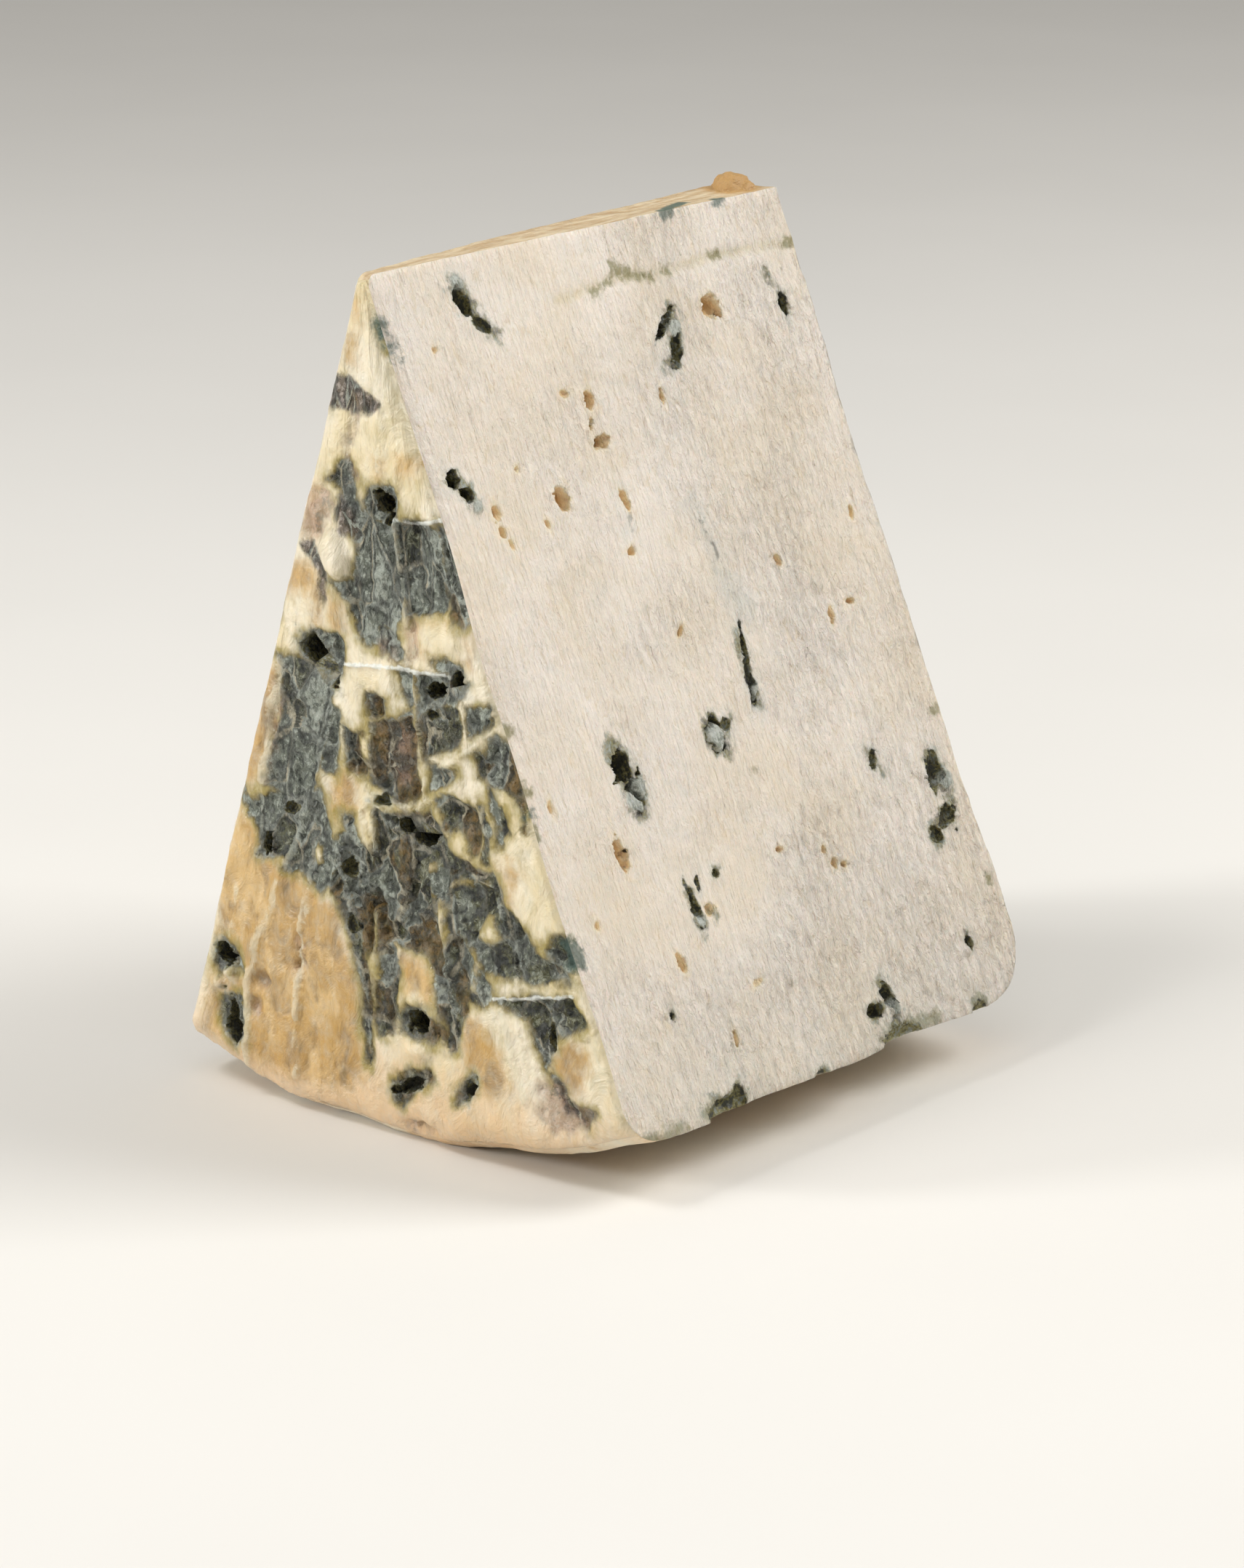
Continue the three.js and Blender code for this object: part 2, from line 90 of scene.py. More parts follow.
# Holes in the right-hand cut: depth from the front rind, slant from the wheel's axis, width, height,
# how far in they go, how far their top leans to the front rind, and whether mould has filled them
Hole = namedtuple("Hole", "along up wide tall deep tilt kind")
BLUE, TAN = "blue", "tan"
CUT_HOLES = [
    (14.0, 7.8, 1.8, 4.2, 2.2, 22, BLUE),
    (16.0, 10.8, 3.4, 1.6, 0.9, -32, BLUE),
    (4.0, 27.5, 2.2, 2.0, 5.0, 0, BLUE),
    (5.4, 29.1, 2.0, 2.8, 6.0, 30, BLUE),
    (46.4, 15.6, 1.0, 5.2, 1.2, -50, BLUE),
    (47.0, 19.0, 2.0, 3.8, 1.6, -30, BLUE),
    (68.2, 16.8, 1.2, 3.4, 1.2, 0, BLUE),
    (42.6, 57.7, 1.1, 8.4, 1.0, -8, BLUE),
    (33.3, 63.8, 2.6, 4.5, 1.5, -18, BLUE),
    (35.7, 63.3, 2.0, 1.4, 0.7, 0, BLUE),
    (16.6, 64.2, 2.7, 4.4, 3.6, 12, BLUE),
    (17.6, 67.3, 3.0, 4.0, 1.6, 0, BLUE),
    (21.4, 82.5, 1.4, 4.8, 1.2, 6, BLUE),
    (23.2, 79.7, 0.8, 2.1, 0.7, -10, BLUE),
    (26.8, 79.3, 1.0, 1.1, 1.0, 0, BLUE),
    (69.9, 76.6, 2.5, 4.4, 1.3, -14, BLUE),
    (66.9, 84.0, 2.0, 2.0, 1.2, 0, BLUE),
    (69.4, 82.6, 4.0, 2.2, 1.0, 24, BLUE),
    (46.6, 101.4, 2.8, 1.7, 1.4, 0, BLUE),
    (49.6, 100.4, 1.8, 3.8, 1.8, 0, BLUE),
    (66.2, 97.8, 1.0, 1.6, 1.2, 0, BLUE),
    (12.2, 93.0, 0.7, 0.8, 0.9, 0, BLUE),
    (59.4, 73.0, 1.4, 2.6, 0.8, -20, BLUE),
    (9.2, 32.1, 1.4, 2.1, 1.6, 8, TAN),
    (9.4, 34.5, 1.4, 1.5, 1.6, 0, TAN),
    (10.2, 36.2, 0.8, 1.6, 0.6, 12, TAN),
    (20.4, 32.5, 2.3, 3.1, 2.4, 10, TAN),
    (29.5, 22.4, 1.7, 3.0, 2.0, -12, TAN),
    (28.8, 25.0, 0.8, 1.6, 1.2, -10, TAN),
    (29.6, 27.3, 2.7, 1.6, 2.4, 6, TAN),
    (26.0, 20.9, 1.9, 1.0, 0.8, 0, TAN),
    (30.6, 34.8, 1.2, 3.4, 1.8, 12, TAN),
    (16.8, 35.0, 0.7, 1.3, 0.7, 8, TAN),
    (7.4, 12.5, 1.1, 0.9, 0.7, 0, TAN),
    (29.2, 40.7, 1.5, 1.2, 1.4, 0, TAN),
    (33.3, 51.3, 0.8, 1.8, 0.9, -40, TAN),
    (14.4, 28.0, 0.9, 0.8, 0.5, 0, TAN),
    (55.3, 14.8, 3.3, 2.7, 2.2, -26, TAN),
    (42.0, 23.8, 0.9, 2.3, 0.9, -8, TAN),
    (53.4, 46.4, 0.9, 1.7, 0.9, 18, TAN),
    (69.3, 43.4, 1.0, 1.8, 0.9, -12, TAN),
    (64.2, 53.8, 1.4, 0.9, 0.9, 0, TAN),
    (60.0, 54.8, 0.8, 2.4, 0.7, -15, TAN),
    (12.3, 73.8, 1.8, 4.7, 2.2, 4, TAN),
    (23.9, 83.0, 1.8, 1.2, 0.9, -12, TAN),
    (16.4, 87.6, 1.3, 2.3, 1.6, 18, TAN),
    (21.6, 98.0, 0.8, 2.2, 1.1, 4, TAN),
    (46.0, 81.0, 1.0, 1.1, 0.9, 0, TAN),
    (47.2, 83.1, 1.1, 1.5, 0.9, 20, TAN),
    (48.8, 83.6, 1.0, 1.0, 0.7, 0, TAN),
    (5.2, 80.4, 0.8, 1.3, 0.6, 0, TAN),
    (3.4, 66.0, 0.7, 1.6, 0.6, 0, TAN),
    (28.2, 93.0, 1.8, 0.8, 0.6, 8, TAN),
    (38.6, 79.3, 1.4, 0.8, 0.5, 0, TAN),
]

# Mould that swells into lumps in and beside the holes of that cut: depth, slant, radius and height
CUT_LUMPS = [
    (13.7, 5.7, 1.3, 0.5),
    (6.3, 30.9, 1.0, 0.5),
    (47.7, 16.5, 1.3, 1.3),
    (16.6, 68.3, 1.4, 3.0),
    (18.3, 66.9, 1.1, 2.4),
    (33.2, 64.2, 1.2, 2.0),
    (42.4, 56.2, 0.7, 1.2),
    (42.7, 59.6, 0.7, 1.2),
    (71.5, 78.1, 1.5, 1.5),
    (50.0, 101.8, 1.1, 1.5),
    (21.3, 83.6, 0.8, 1.4),
]

# Blue-grey haze under the surface of that cut, as lines with a radius, by depth and slant
HAZES = [
    ([(29.9, 31.5), (29.8, 38.5)], 1.6),
    ([(41.7, 37.0), (42.3, 41.5), (43.0, 45.5)], 2.0),
    ([(43.0, 47.0), (45.0, 50.5)], 3.2),
    ([(42.6, 53.5), (42.6, 62.0)], 2.2),
    ([(66.9, 11.8), (66.7, 14.2)], 1.4),
    ([(16.0, 10.0), (18.4, 12.6)], 1.6),
    ([(13.8, 5.0), (15.2, 9.5)], 2.2),
    ([(4.6, 28.0), (6.4, 31.2)], 2.0),
    ([(45.4, 20.6), (47.9, 15.5)], 2.4),
    ([(16.8, 63.5), (17.6, 68.5)], 3.0),
    ([(34.0, 63.8), (34.4, 64.2)], 3.2),
    ([(21.6, 80.5), (21.6, 84.6)], 1.8),
    ([(58.4, 71.5), (60.8, 75.2)], 1.4),
    ([(70.4, 75.0), (71.4, 79.4)], 2.4),
    ([(49.4, 98.6), (49.6, 103.0)], 2.6),
    ([(10.0, 49.4), (10.3, 51.0)], 0.8),
    ([(68.4, 18.6), (68.3, 15.0)], 1.3),
]
# Thicker mould on the surface of that cut, mottled grey and olive
SMEARS = [
    ([(15.4, 9.6), (16.8, 11.6), (18.6, 12.6)], 1.0),
    ([(13.6, 6.0), (15.0, 8.6)], 1.5),
    ([(5.0, 27.6), (6.4, 31.4)], 1.1),
    ([(66.9, 11.8), (66.6, 14.2)], 0.7),
    ([(45.3, 20.8), (47.2, 17.4), (48.2, 14.2)], 1.2),
    ([(68.2, 15.4), (68.2, 18.2)], 0.8),
    ([(16.0, 61.8), (17.2, 66.0), (17.6, 69.2)], 1.7),
    ([(32.6, 62.6), (34.4, 66.0)], 1.6),
    ([(35.0, 63.4), (36.8, 62.8)], 0.8),
    ([(42.2, 53.8), (43.0, 61.8)], 0.9),
    ([(21.2, 80.6), (22.0, 84.8)], 1.1),
    ([(23.0, 82.4), (24.8, 84.0)], 0.6),
    ([(58.6, 71.6), (60.6, 75.0)], 0.5),
    ([(69.6, 74.6), (71.4, 79.0)], 1.4),
    ([(66.6, 84.6), (68.2, 82.0), (71.2, 81.4)], 1.3),
    ([(49.0, 98.8), (50.0, 103.2)], 1.5),
    ([(46.0, 101.6), (47.4, 101.0)], 1.3),
]
VEINS = [
    [(30.7, 36.2), (30.0, 38.6)],
    [(41.6, 39.4), (42.5, 42.0), (43.0, 45.2)],
    [(45.4, 20.0), (44.9, 20.9)],
    [(67.0, 11.9), (66.8, 13.9)],
]

# Olive stains on that cut, as lines with a radius: along the crease below the tip, and at the edges
STAINS = [
    ([(40.4, 7.9), (42.2, 8.8)], 0.9),
    ([(43.6, 9.3), (46.6, 9.5)], 0.6),
    ([(49.0, 9.2), (50.2, 9.3)], 0.5),
    ([(58.0, 9.2), (59.4, 9.3)], 0.7),
    ([(35.6, 10.2), (39.6, 9.4)], 0.5),
    ([(72.0, 9.4), (73.4, 9.4)], 0.7),
    ([(0.0, 56.0), (0.7, 56.4)], 0.8),
    ([(0.0, 63.3), (0.9, 63.6)], 0.7),
    ([(0.0, 67.2), (0.0, 68.6)], 0.6),
    ([(0.0, 81.0), (0.3, 81.0)], 0.6),
    ([(73.5, 69.2), (72.9, 69.5)], 0.7),
    ([(73.5, 91.5), (73.2, 91.5)], 0.8),
    ([(15.6, 60.9), (16.0, 61.1)], 0.5),
    ([(38.1, 69.0), (38.3, 69.1)], 0.4),
    ([(0.0, 105.4), (9.0, 105.3)], 0.7),
    ([(13.0, 104.8), (15.6, 104.2)], 0.9),
    ([(47.6, 104.3), (56.5, 105.2)], 1.0),
    ([(64.2, 104.9), (65.6, 105.0)], 0.9),
]
TIP_CREASE = [(29.0, 10.3), (41.0, 9.3), (52.0, 9.5), (62.0, 9.3), (73.5, 9.6)]

# Bites out of the cut's lower edge, full of dark mould: depth, slant and size along X, Y and Z
BITES = [
    (17.0, 105.6, (4.4, 6.4, 3.2)),
    (19.2, 104.9, (2.8, 2.6, 3.4)),
    (34.0, 106.9, (3.4, 3.2, 3.0)),
    (50.2, 106.0, (4.4, 7.4, 3.8)),
    (64.8, 106.4, (2.6, 2.8, 2.6)),
]
BITE_PIVOT_SHARE = 0.3

# Blue-green marks that run over an edge: two ends in space and a radius
MARKS = [
    ((3.2, -36.7, 97.6), (4.6, -36.4, 95.6), 1.2),
    ((4.6, -36.4, 95.6), (6.3, -35.8, 93.7), 1.5),
    ((0.9, 15.2, 102.7), (-1.2, 21.4, 102.8), 0.9),
    ((0.8, 25.0, 102.6), (0.6, 26.4, 102.6), 0.8),
    ((31.2, -36.6, 29.9), (32.0, -36.2, 28.2), 1.1),
    ((24.9, -36.7, 44.0), (26.2, -36.2, 45.6), 0.6),
]

# Holes in the front rind, by x and height above the foot
RIND_HOLES = [
    (3.2, 76.9, 2.6, 2.8, 7.0, 0, BLUE),
    (4.0, 75.2, 1.9, 2.2, 6.0, 10, BLUE),
    (-8.4, 58.0, 3.8, 2.9, 6.0, 14, BLUE),
    (-6.6, 56.6, 3.0, 3.2, 7.0, 24, BLUE),
    (-4.7, 54.6, 1.9, 2.5, 4.0, 0, BLUE),
    (11.3, 56.3, 3.6, 1.7, 4.0, 18, BLUE),
    (14.9, 57.9, 2.2, 2.3, 5.0, -20, BLUE),
    (8.9, 38.3, 4.4, 2.6, 7.0, 14, BLUE),
    (5.9, 39.0, 2.8, 2.0, 3.5, -20, BLUE),
    (-16.2, 33.6, 1.7, 4.2, 4.0, -14, BLUE),
    (-24.1, 17.3, 2.6, 3.0, 3.4, 20, BLUE),
    (-22.5, 9.0, 2.2, 5.6, 3.0, 4, BLUE),
    (8.0, 15.6, 3.6, 2.6, 4.0, 12, BLUE),
    (6.4, 7.4, 5.4, 1.6, 2.2, 24, BLUE),
    (16.1, 9.4, 1.6, 3.6, 1.8, -30, BLUE),
    (-2.6, 32.2, 2.0, 1.9, 1.4, 0, BLUE),
    (-12.2, 37.9, 1.9, 1.7, 1.0, 0, BLUE),
    (2.6, 41.6, 2.6, 1.2, 1.2, 12, BLUE),
    (10.6, 53.4, 1.6, 1.2, 1.4, 0, BLUE),
    (28.6, 18.6, 1.3, 4.0, 1.6, 12, BLUE),
    (-2.4, 25.6, 1.2, 2.6, 1.2, 24, BLUE),
]

# What grows on the front rind: outlines by x and height, in the order that they are painted
OCHRE, BROWN, LILAC, MOSS, SLATE = "ochre", "brown", "lilac", "moss", "slate"
GROWTHS = {
    OCHRE: [
        [(-27.5, 7), (-25, 20), (-24, 30), (-20.5, 37), (-16, 32), (-9, 30), (-4, 27), (-1.6, 20),
         (-0.4, 8),
         (-3, 4.6), (-12, 4), (-20, 5)],
        [(-15.5, 54), (-12.8, 55.4), (-15, 46), (-16.6, 40), (-20, 38), (-24, 28), (-21, 40),
         (-18.5, 47)],
        [(-5.6, 45), (-2.6, 44.5), (-0.8, 43), (-1.1, 39.5), (-4, 37.6), (-5.6, 36.4), (-5.8, 42)],
        [(-11.4, 68), (-7.5, 68.2), (-6.8, 65), (-8, 64.4), (-9.4, 65), (-11.6, 64), (-12.4, 66)],
        [(-7.4, 65.2), (-6, 65.2), (-6.1, 60.1), (-7.4, 60.1)],
        [(-5, 65.6), (-3.2, 64.6), (-2.6, 61), (-4.8, 60.4)],
        [(14.8, 17.6), (18, 18.4), (20.4, 15.6), (22, 11.4), (20.4, 9.2), (17.4, 9.6), (15.4, 13)],
        [(4.6, 24.6), (9.6, 24), (11.6, 20), (10.4, 17.4), (6.4, 18), (4.8, 20.6)],
        [(28, 17.4), (31, 19.6), (34.6, 17.4), (33.4, 13), (30, 11.6), (28, 13.4)],
        [(-1.2, 100.4), (0.6, 100), (0.4, 97.6), (-0.8, 97.6)],
        [(-1.6, 95.6), (-0.2, 95.4), (-0.4, 92.8), (-1.8, 92.6)],
        [(2.2, 82.2), (3.4, 82.2), (3.6, 79), (2.4, 78)],
        [(5.8, 82.8), (8.8, 82.4), (8.4, 80.6), (5.8, 80.8)],
        [(-9.6, 71.4), (-7, 71.4), (-6, 78.4), (-8.6, 76.6)],
        [(22.4, 38.6), (24.6, 37.6), (23.6, 35), (21.8, 35.6)],
        [(11.2, 64.6), (16.6, 65.2), (17.4, 63.8), (17.2, 60.4), (8.4, 60.2), (7.2, 62.4), (8.2, 64.8)],
        [(3.4, 31.5), (8, 30), (9.6, 26), (9, 23.4), (5.6, 23.4), (4, 27)],
        [(16.6, 35.4), (20.4, 37.4), (23.6, 34), (22, 32), (17.6, 33.4)],
    ],
    BROWN: [
        [(-8.2, 77), (-5.7, 77.9), (-3.9, 75.9), (-4.6, 73.1), (-5.7, 71.3), (-7.5, 70.9), (-9.6, 71.3),
         (-9.4, 74.9)],
        [(-1.2, 87.4), (-0.2, 87), (-1, 84), (-1.7, 81.8), (-0.2, 79), (-0.8, 78.8), (-2.6, 82),
         (-1.9, 84.4)],
        [(3.2, 50.8), (6.5, 51.5), (7.8, 49), (7.4, 45), (5, 43.4), (3.2, 45.6)],
        [(6.8, 64.5), (8, 64.6), (8.9, 62.4), (8, 58.6), (7.2, 58.8), (6.8, 61)],
        [(26.4, 13), (29, 13.5), (31, 11.8), (33, 11), (35.4, 10), (33.5, 8.6), (31, 6.6), (28, 6.4),
         (26.6, 9)],
        [(-18.6, 15.8), (-16.6, 16.4), (-15.4, 15.2), (-16.4, 14), (-18.4, 14.4)],
        [(-19.4, 13.2), (-17.6, 13), (-17.4, 11), (-18.8, 10.8)],
        [(-11.6, 22.4), (-10, 22.4), (-10.4, 17.4), (-11.8, 17.6)],
        [(-8.8, 1.8), (-4.4, 1.5), (-4.6, 0.5), (-8.4, 0.7)],
        [(5, 2.8), (10, 2.9), (9.6, 1.4), (5.6, 1)],
        [(-16.7, 40), (-15.6, 40), (-12.6, 55), (-13.6, 55.6), (-15.4, 49)],
        [(2, 60.2), (4.6, 61.6), (5.6, 59.6), (3.6, 59)],
        [(-26.6, 28.6), (-25.4, 28.4), (-25.8, 26.6), (-27, 27)],
    ],
    LILAC: [
        [(-3.2, 77.7), (-0.4, 75), (-0.7, 71.6), (-3, 72.5), (-3.9, 75.9)],
        [(-9.5, 70.6), (-7.5, 70.6), (-5.4, 69.1), (-5.2, 67), (-5.7, 64.1), (-6.3, 62.4), (-6.6, 64.5),
         (-7, 67.7), (-8.9, 69.1)],
        [(-5.1, 90.2), (-3.4, 91.1), (-1.1, 90.9), (1.1, 89.4), (3.2, 89), (3.1, 88), (1.1, 87),
         (-2.3, 87.2),
         (-5.8, 86.3)],
    ],
    MOSS: [
        [(11.4, 76), (14.3, 72.7), (15.9, 69.1), (16.8, 65.6), (16.4, 64.9), (14, 65.5), (12.5, 70)],
        [(-6.5, 52), (-4.5, 51), (-4.3, 46), (-5, 43), (-6.6, 44)],
        [(1, 50.5), (3, 51), (5.5, 51.5), (7.3, 53.2), (8.2, 50), (8, 47), (8.5, 43.5), (6.5, 42),
         (4.5, 42),
         (1.5, 43.5), (0.8, 45.5), (1.4, 48)],
        [(0.6, 54.5), (3.1, 54), (3.3, 51.8), (0.6, 51.5)],
        [(-3.4, 49.5), (0, 49), (0.4, 44.4), (-2.5, 44.5)],
        [(8.6, 53), (11, 54.4), (14.5, 55.3), (15.7, 52.5), (14.8, 50.5), (11.5, 49), (9.8, 47.8),
         (9, 50)],
        [(17.5, 49.6), (20.4, 53.2), (22.1, 51.8), (24.3, 46.4), (24.6, 42.5), (23.6, 45.7), (21.4, 46.8),
         (17.9, 47.5)],
        [(11, 43.6), (13.5, 44), (17, 43.5), (17.8, 41.5), (17.5, 38.5), (16.5, 37.5), (15.8, 39.5),
         (14.5, 40.6), (12.5, 40), (11.6, 42)],
        [(20.7, 44), (22.4, 44), (22.9, 42), (20.9, 41)],
        [(5, 40.5), (7, 41.2), (10, 41.7), (11.7, 40), (12.6, 37.5), (12, 36), (8, 35), (5.3, 35)],
        [(2, 40.2), (5.6, 40.6), (5.6, 34.3), (2, 34.3)],
        [(-5, 35), (-3.4, 36.6), (1, 35), (3, 40), (5.4, 35.6), (9.6, 35.6), (10.4, 30), (10.8, 26),
         (9.5, 24.5), (5, 25), (2.5, 24.4), (0.3, 22.4), (-3, 25.2), (-5.2, 30)],
        [(11.3, 37.2), (14, 37.2), (17, 36), (20, 35.8), (21.5, 33), (23.5, 31.5), (25.5, 29),
         (27.5, 27.8),
         (30, 27.8), (31.7, 25.5), (24, 24.5), (19.5, 24.3), (18, 23.8), (20, 22.2), (19, 20.5), (16, 20),
         (15, 17.5), (14, 14), (13, 13.2), (12.3, 16), (11.5, 19), (10.5, 21), (10, 24), (10, 27.5),
         (10.6, 31)],
        [(20.6, 21.3), (25, 22.3), (31.5, 24), (33.5, 21.5), (33, 20.5), (30, 19), (28.5, 16.5),
         (27.5, 14.5),
         (26.5, 17), (25, 20), (23.5, 20.3)],
        [(1.8, 24.5), (4.8, 24), (5, 20), (4.2, 16.5), (3.4, 13.5), (2, 12.5), (1.2, 15), (1.6, 22)],
        [(-1.4, 24), (-0.2, 24), (0.6, 17), (0.5, 10), (-0.3, 8.6), (-0.9, 15), (-1, 19)],
        [(5, 16), (7, 17.2), (9.5, 17), (12, 15.8), (13.5, 16.5), (13.3, 14.6), (9.5, 13.8), (7, 13.6),
         (5.2, 14.4)],
        [(3.7, 5), (4, 7.2), (6, 8.8), (9.8, 10.2), (10.3, 9), (8, 7.8), (4.8, 4.8)],
        [(14.2, 7), (15, 9.5), (16.8, 11.2), (17.2, 10), (15.7, 7.8)],
        [(2.9, 62.6), (5, 62.6), (5.2, 59.5), (2.9, 59.5)],
        [(-25.7, 15.9), (-24.1, 19.3), (-20.9, 17.4), (-20.6, 15.8), (-24.6, 15)],
        [(-24.4, 11.6), (-20.8, 12.4), (-20.2, 6.8), (-22, 5.9), (-23.9, 8.5)],
        [(3, 97.5), (5, 97.5), (6.4, 94.6), (7.3, 93.6), (5.7, 93.2), (4.3, 94.5), (3.2, 95.9)],
        [(28.2, 28.8), (30, 31), (32.4, 31), (32.6, 28.6), (31.2, 27.2)],
        [(-12.4, 63), (-11.4, 62.6), (-11.8, 61), (-13, 61.4)],
        [(27.6, 14.6), (31.4, 11.6), (35, 10.8), (34, 9.2), (30, 9.8)],
    ],
    SLATE: [
        [(-1.8, 81.5), (-0.5, 76.6), (0.4, 75.2), (2.9, 74.9), (5, 74.9), (5.8, 68.4), (6.1, 66),
         (5.5, 62.4),
         (6.3, 59.1), (4.8, 59.5), (4.6, 62.4), (2.9, 62.4), (2.3, 60.2), (0, 60), (-1.4, 62.4),
         (-2.1, 64.5),
         (-3.9, 65.9), (-4.8, 66.8), (-2.9, 66.6), (-1.4, 67.4), (-0.4, 69.9), (-0.7, 71.6), (-3.2, 77.7),
         (-5, 78.8), (-3.4, 80.6)],
        [(5.2, 75.2), (11.2, 75.6), (12.5, 70), (13.5, 66), (9, 65.2), (6.6, 64.7), (6, 68.4)],
        [(0.5, 75), (1.2, 78.2), (4.3, 79.3), (5.6, 77.6), (5.4, 75)],
        [(-5.4, 60.2), (-3.2, 60.2), (-3.2, 57), (-3.6, 55.2), (-5.5, 54), (-5.4, 57)],
        [(-10.8, 58.8), (-7, 60.4), (-3.2, 60), (-3.4, 57.6), (-10, 57)],
        [(10.9, 60), (12.9, 60.7), (15.6, 59.6), (15.8, 58.4), (12.1, 59)],
        [(-13.8, 56.3), (-10, 56.5), (-7, 55.2), (-5.1, 52.9), (-6.1, 49.6), (-6.8, 45), (-7.9, 41.4),
         (-10, 38.5), (-16, 40), (-15.1, 45), (-13.6, 49.3), (-12.6, 55.7)],
        [(-20, 39.5), (-18.5, 37.5), (-16, 38.5), (-14, 39.5), (-10, 40), (-7.3, 41), (-6, 38), (-5, 33),
         (-5, 30.5), (-7, 28.5), (-8.4, 29.5), (-10.5, 30.5), (-13, 30), (-12.5, 32), (-15, 31.4),
         (-17.8, 31), (-17.3, 32.5), (-18, 34.8), (-19.5, 37)],
        [(8.5, 57.8), (12, 58.2), (15, 58.8), (16.5, 58), (14.5, 55.5), (12.5, 54.8), (10.2, 53.6),
         (8.6, 52.6), (9, 55)],
        [(5.6, 57.8), (7.8, 57.9), (7.9, 54.5), (7, 53), (6.2, 54.8)],
        [(16.3, 53.6), (16.2, 55.2), (19.7, 56), (20, 54.6), (17.1, 51.8)],
        [(10, 47.6), (12, 47.2), (14.6, 47.6), (12.5, 45.8), (10.2, 44)],
        [(17.9, 44), (18.5, 44), (19.4, 37), (18.7, 37)],
        [(19.3, 46.8), (20, 46.8), (21.2, 40), (20.4, 40)],
        [(-3.6, 38.6), (-1.9, 38.9), (-1.1, 36.8), (-1.1, 34.5), (-2.6, 35.7)],
        [(-4.7, 34.6), (-0.4, 33.2), (1, 31.8), (5.3, 30.4), (4.6, 28.6), (0.3, 29.6), (-4, 30),
         (-4.9, 32.9)],
        [(-4.4, 30.4), (-3.4, 30.4), (-1.4, 25), (-0.2, 18), (-0.6, 17.6), (-1.9, 23), (-3.4, 26.4)],
        [(9.4, 34), (12.4, 35.6), (13, 31.6), (11.6, 27), (10.6, 27.4), (11.2, 31)],
        [(20.2, 33.4), (22.2, 32.6), (24.2, 28.4), (23.4, 26.4), (21.6, 29.6)],
        [(12.8, 26.6), (14.4, 25.4), (14.2, 18), (12.6, 13.6), (12.4, 18)],
    ],
}

# Clear cream patches among the growths
CLEAR = [
    [(8.6, 64.3), (12, 64.9), (16, 64.4), (17.4, 61.4), (16.2, 60.2), (9.2, 60.8), (8.4, 62.6)],
    [(-3, 60), (5, 59.2), (6.4, 57.6), (-3.1, 57.2)],
    [(-4.5, 51.8), (-2.6, 54.6), (-0.8, 56.2), (1.7, 56.5), (4.6, 55.4), (6, 52.9), (5.3, 51.1),
     (3.5, 51.6),
     (3.3, 53.9), (0.6, 54.6), (0.3, 51.4), (-0.4, 50), (-2.9, 49.3), (-4, 51.2)],
    [(11.8, 44.3), (15, 47.4), (17.4, 47.4), (17.9, 45.5), (17, 44.3)],
    [(10.3, 47.7), (11, 49), (16.6, 51.2), (17.2, 50)],
    [(17.5, 51.1), (20, 53.2), (18.9, 50)],
    [(19.3, 46.8), (22.9, 46.1), (24.3, 44.3), (24.6, 41.4), (22.9, 41.4)],
    [(12.1, 40), (15.7, 39.6), (16.1, 37.9), (14.3, 36.8), (12.9, 37.1)],
    [(18.6, 36.4), (20, 37.1), (22.1, 37.1), (21.1, 36.1), (19.3, 35.7)],
    [(12.1, 32.5), (14.3, 34.8), (19.3, 34.8), (15, 33.9)],
    [(11.1, 32.1), (12.1, 32.1), (12.5, 30.4), (12.1, 29.3), (11.1, 29.3)],
    [(11.1, 29.3), (12.1, 29.3), (13.6, 27.9), (12.5, 25.4), (11.8, 26.8)],
    [(14.3, 28.2), (17.9, 25.4), (17.9, 24.3), (17.1, 22.9), (17.5, 21.4), (15.7, 21.1), (16.1, 23.9),
     (16.8, 25)],
    [(17.1, 27.9), (18.6, 30.7), (20, 31.4), (21.8, 28.9), (20, 27.5)],
    [(22.9, 35), (24.6, 37.1), (25, 40.7), (27, 39), (29.8, 32), (29.6, 29.6), (28.2, 28.6), (26.8, 28.9),
     (24.6, 30.7), (23.2, 32.9)],
    [(21.4, 22.3), (24.6, 23), (24.8, 24.8), (22, 24.4)],
    [(25.4, 23.2), (31.2, 24.6), (31, 26), (25.6, 24.8)],
    [(21.2, 20.6), (23, 20.6), (27, 10), (25.4, 9.6), (22.8, 15)],
    [(24.4, 20), (25.2, 20), (27.6, 12.6), (26.8, 12.4)],
    [(7.7, 41.6), (11.8, 44.4), (12.4, 43.6), (8.4, 40.8)],
    [(-13, 64.4), (-9.6, 64), (-7.8, 64.6), (-7.6, 60.4), (-10, 58.6), (-14, 57.2), (-13.4, 60.4)],
    [(-0.7, 49), (1.2, 49), (1.4, 46), (-0.4, 46)],
    [(1.3, 28), (2, 28), (2.2, 19), (1, 19)],
]

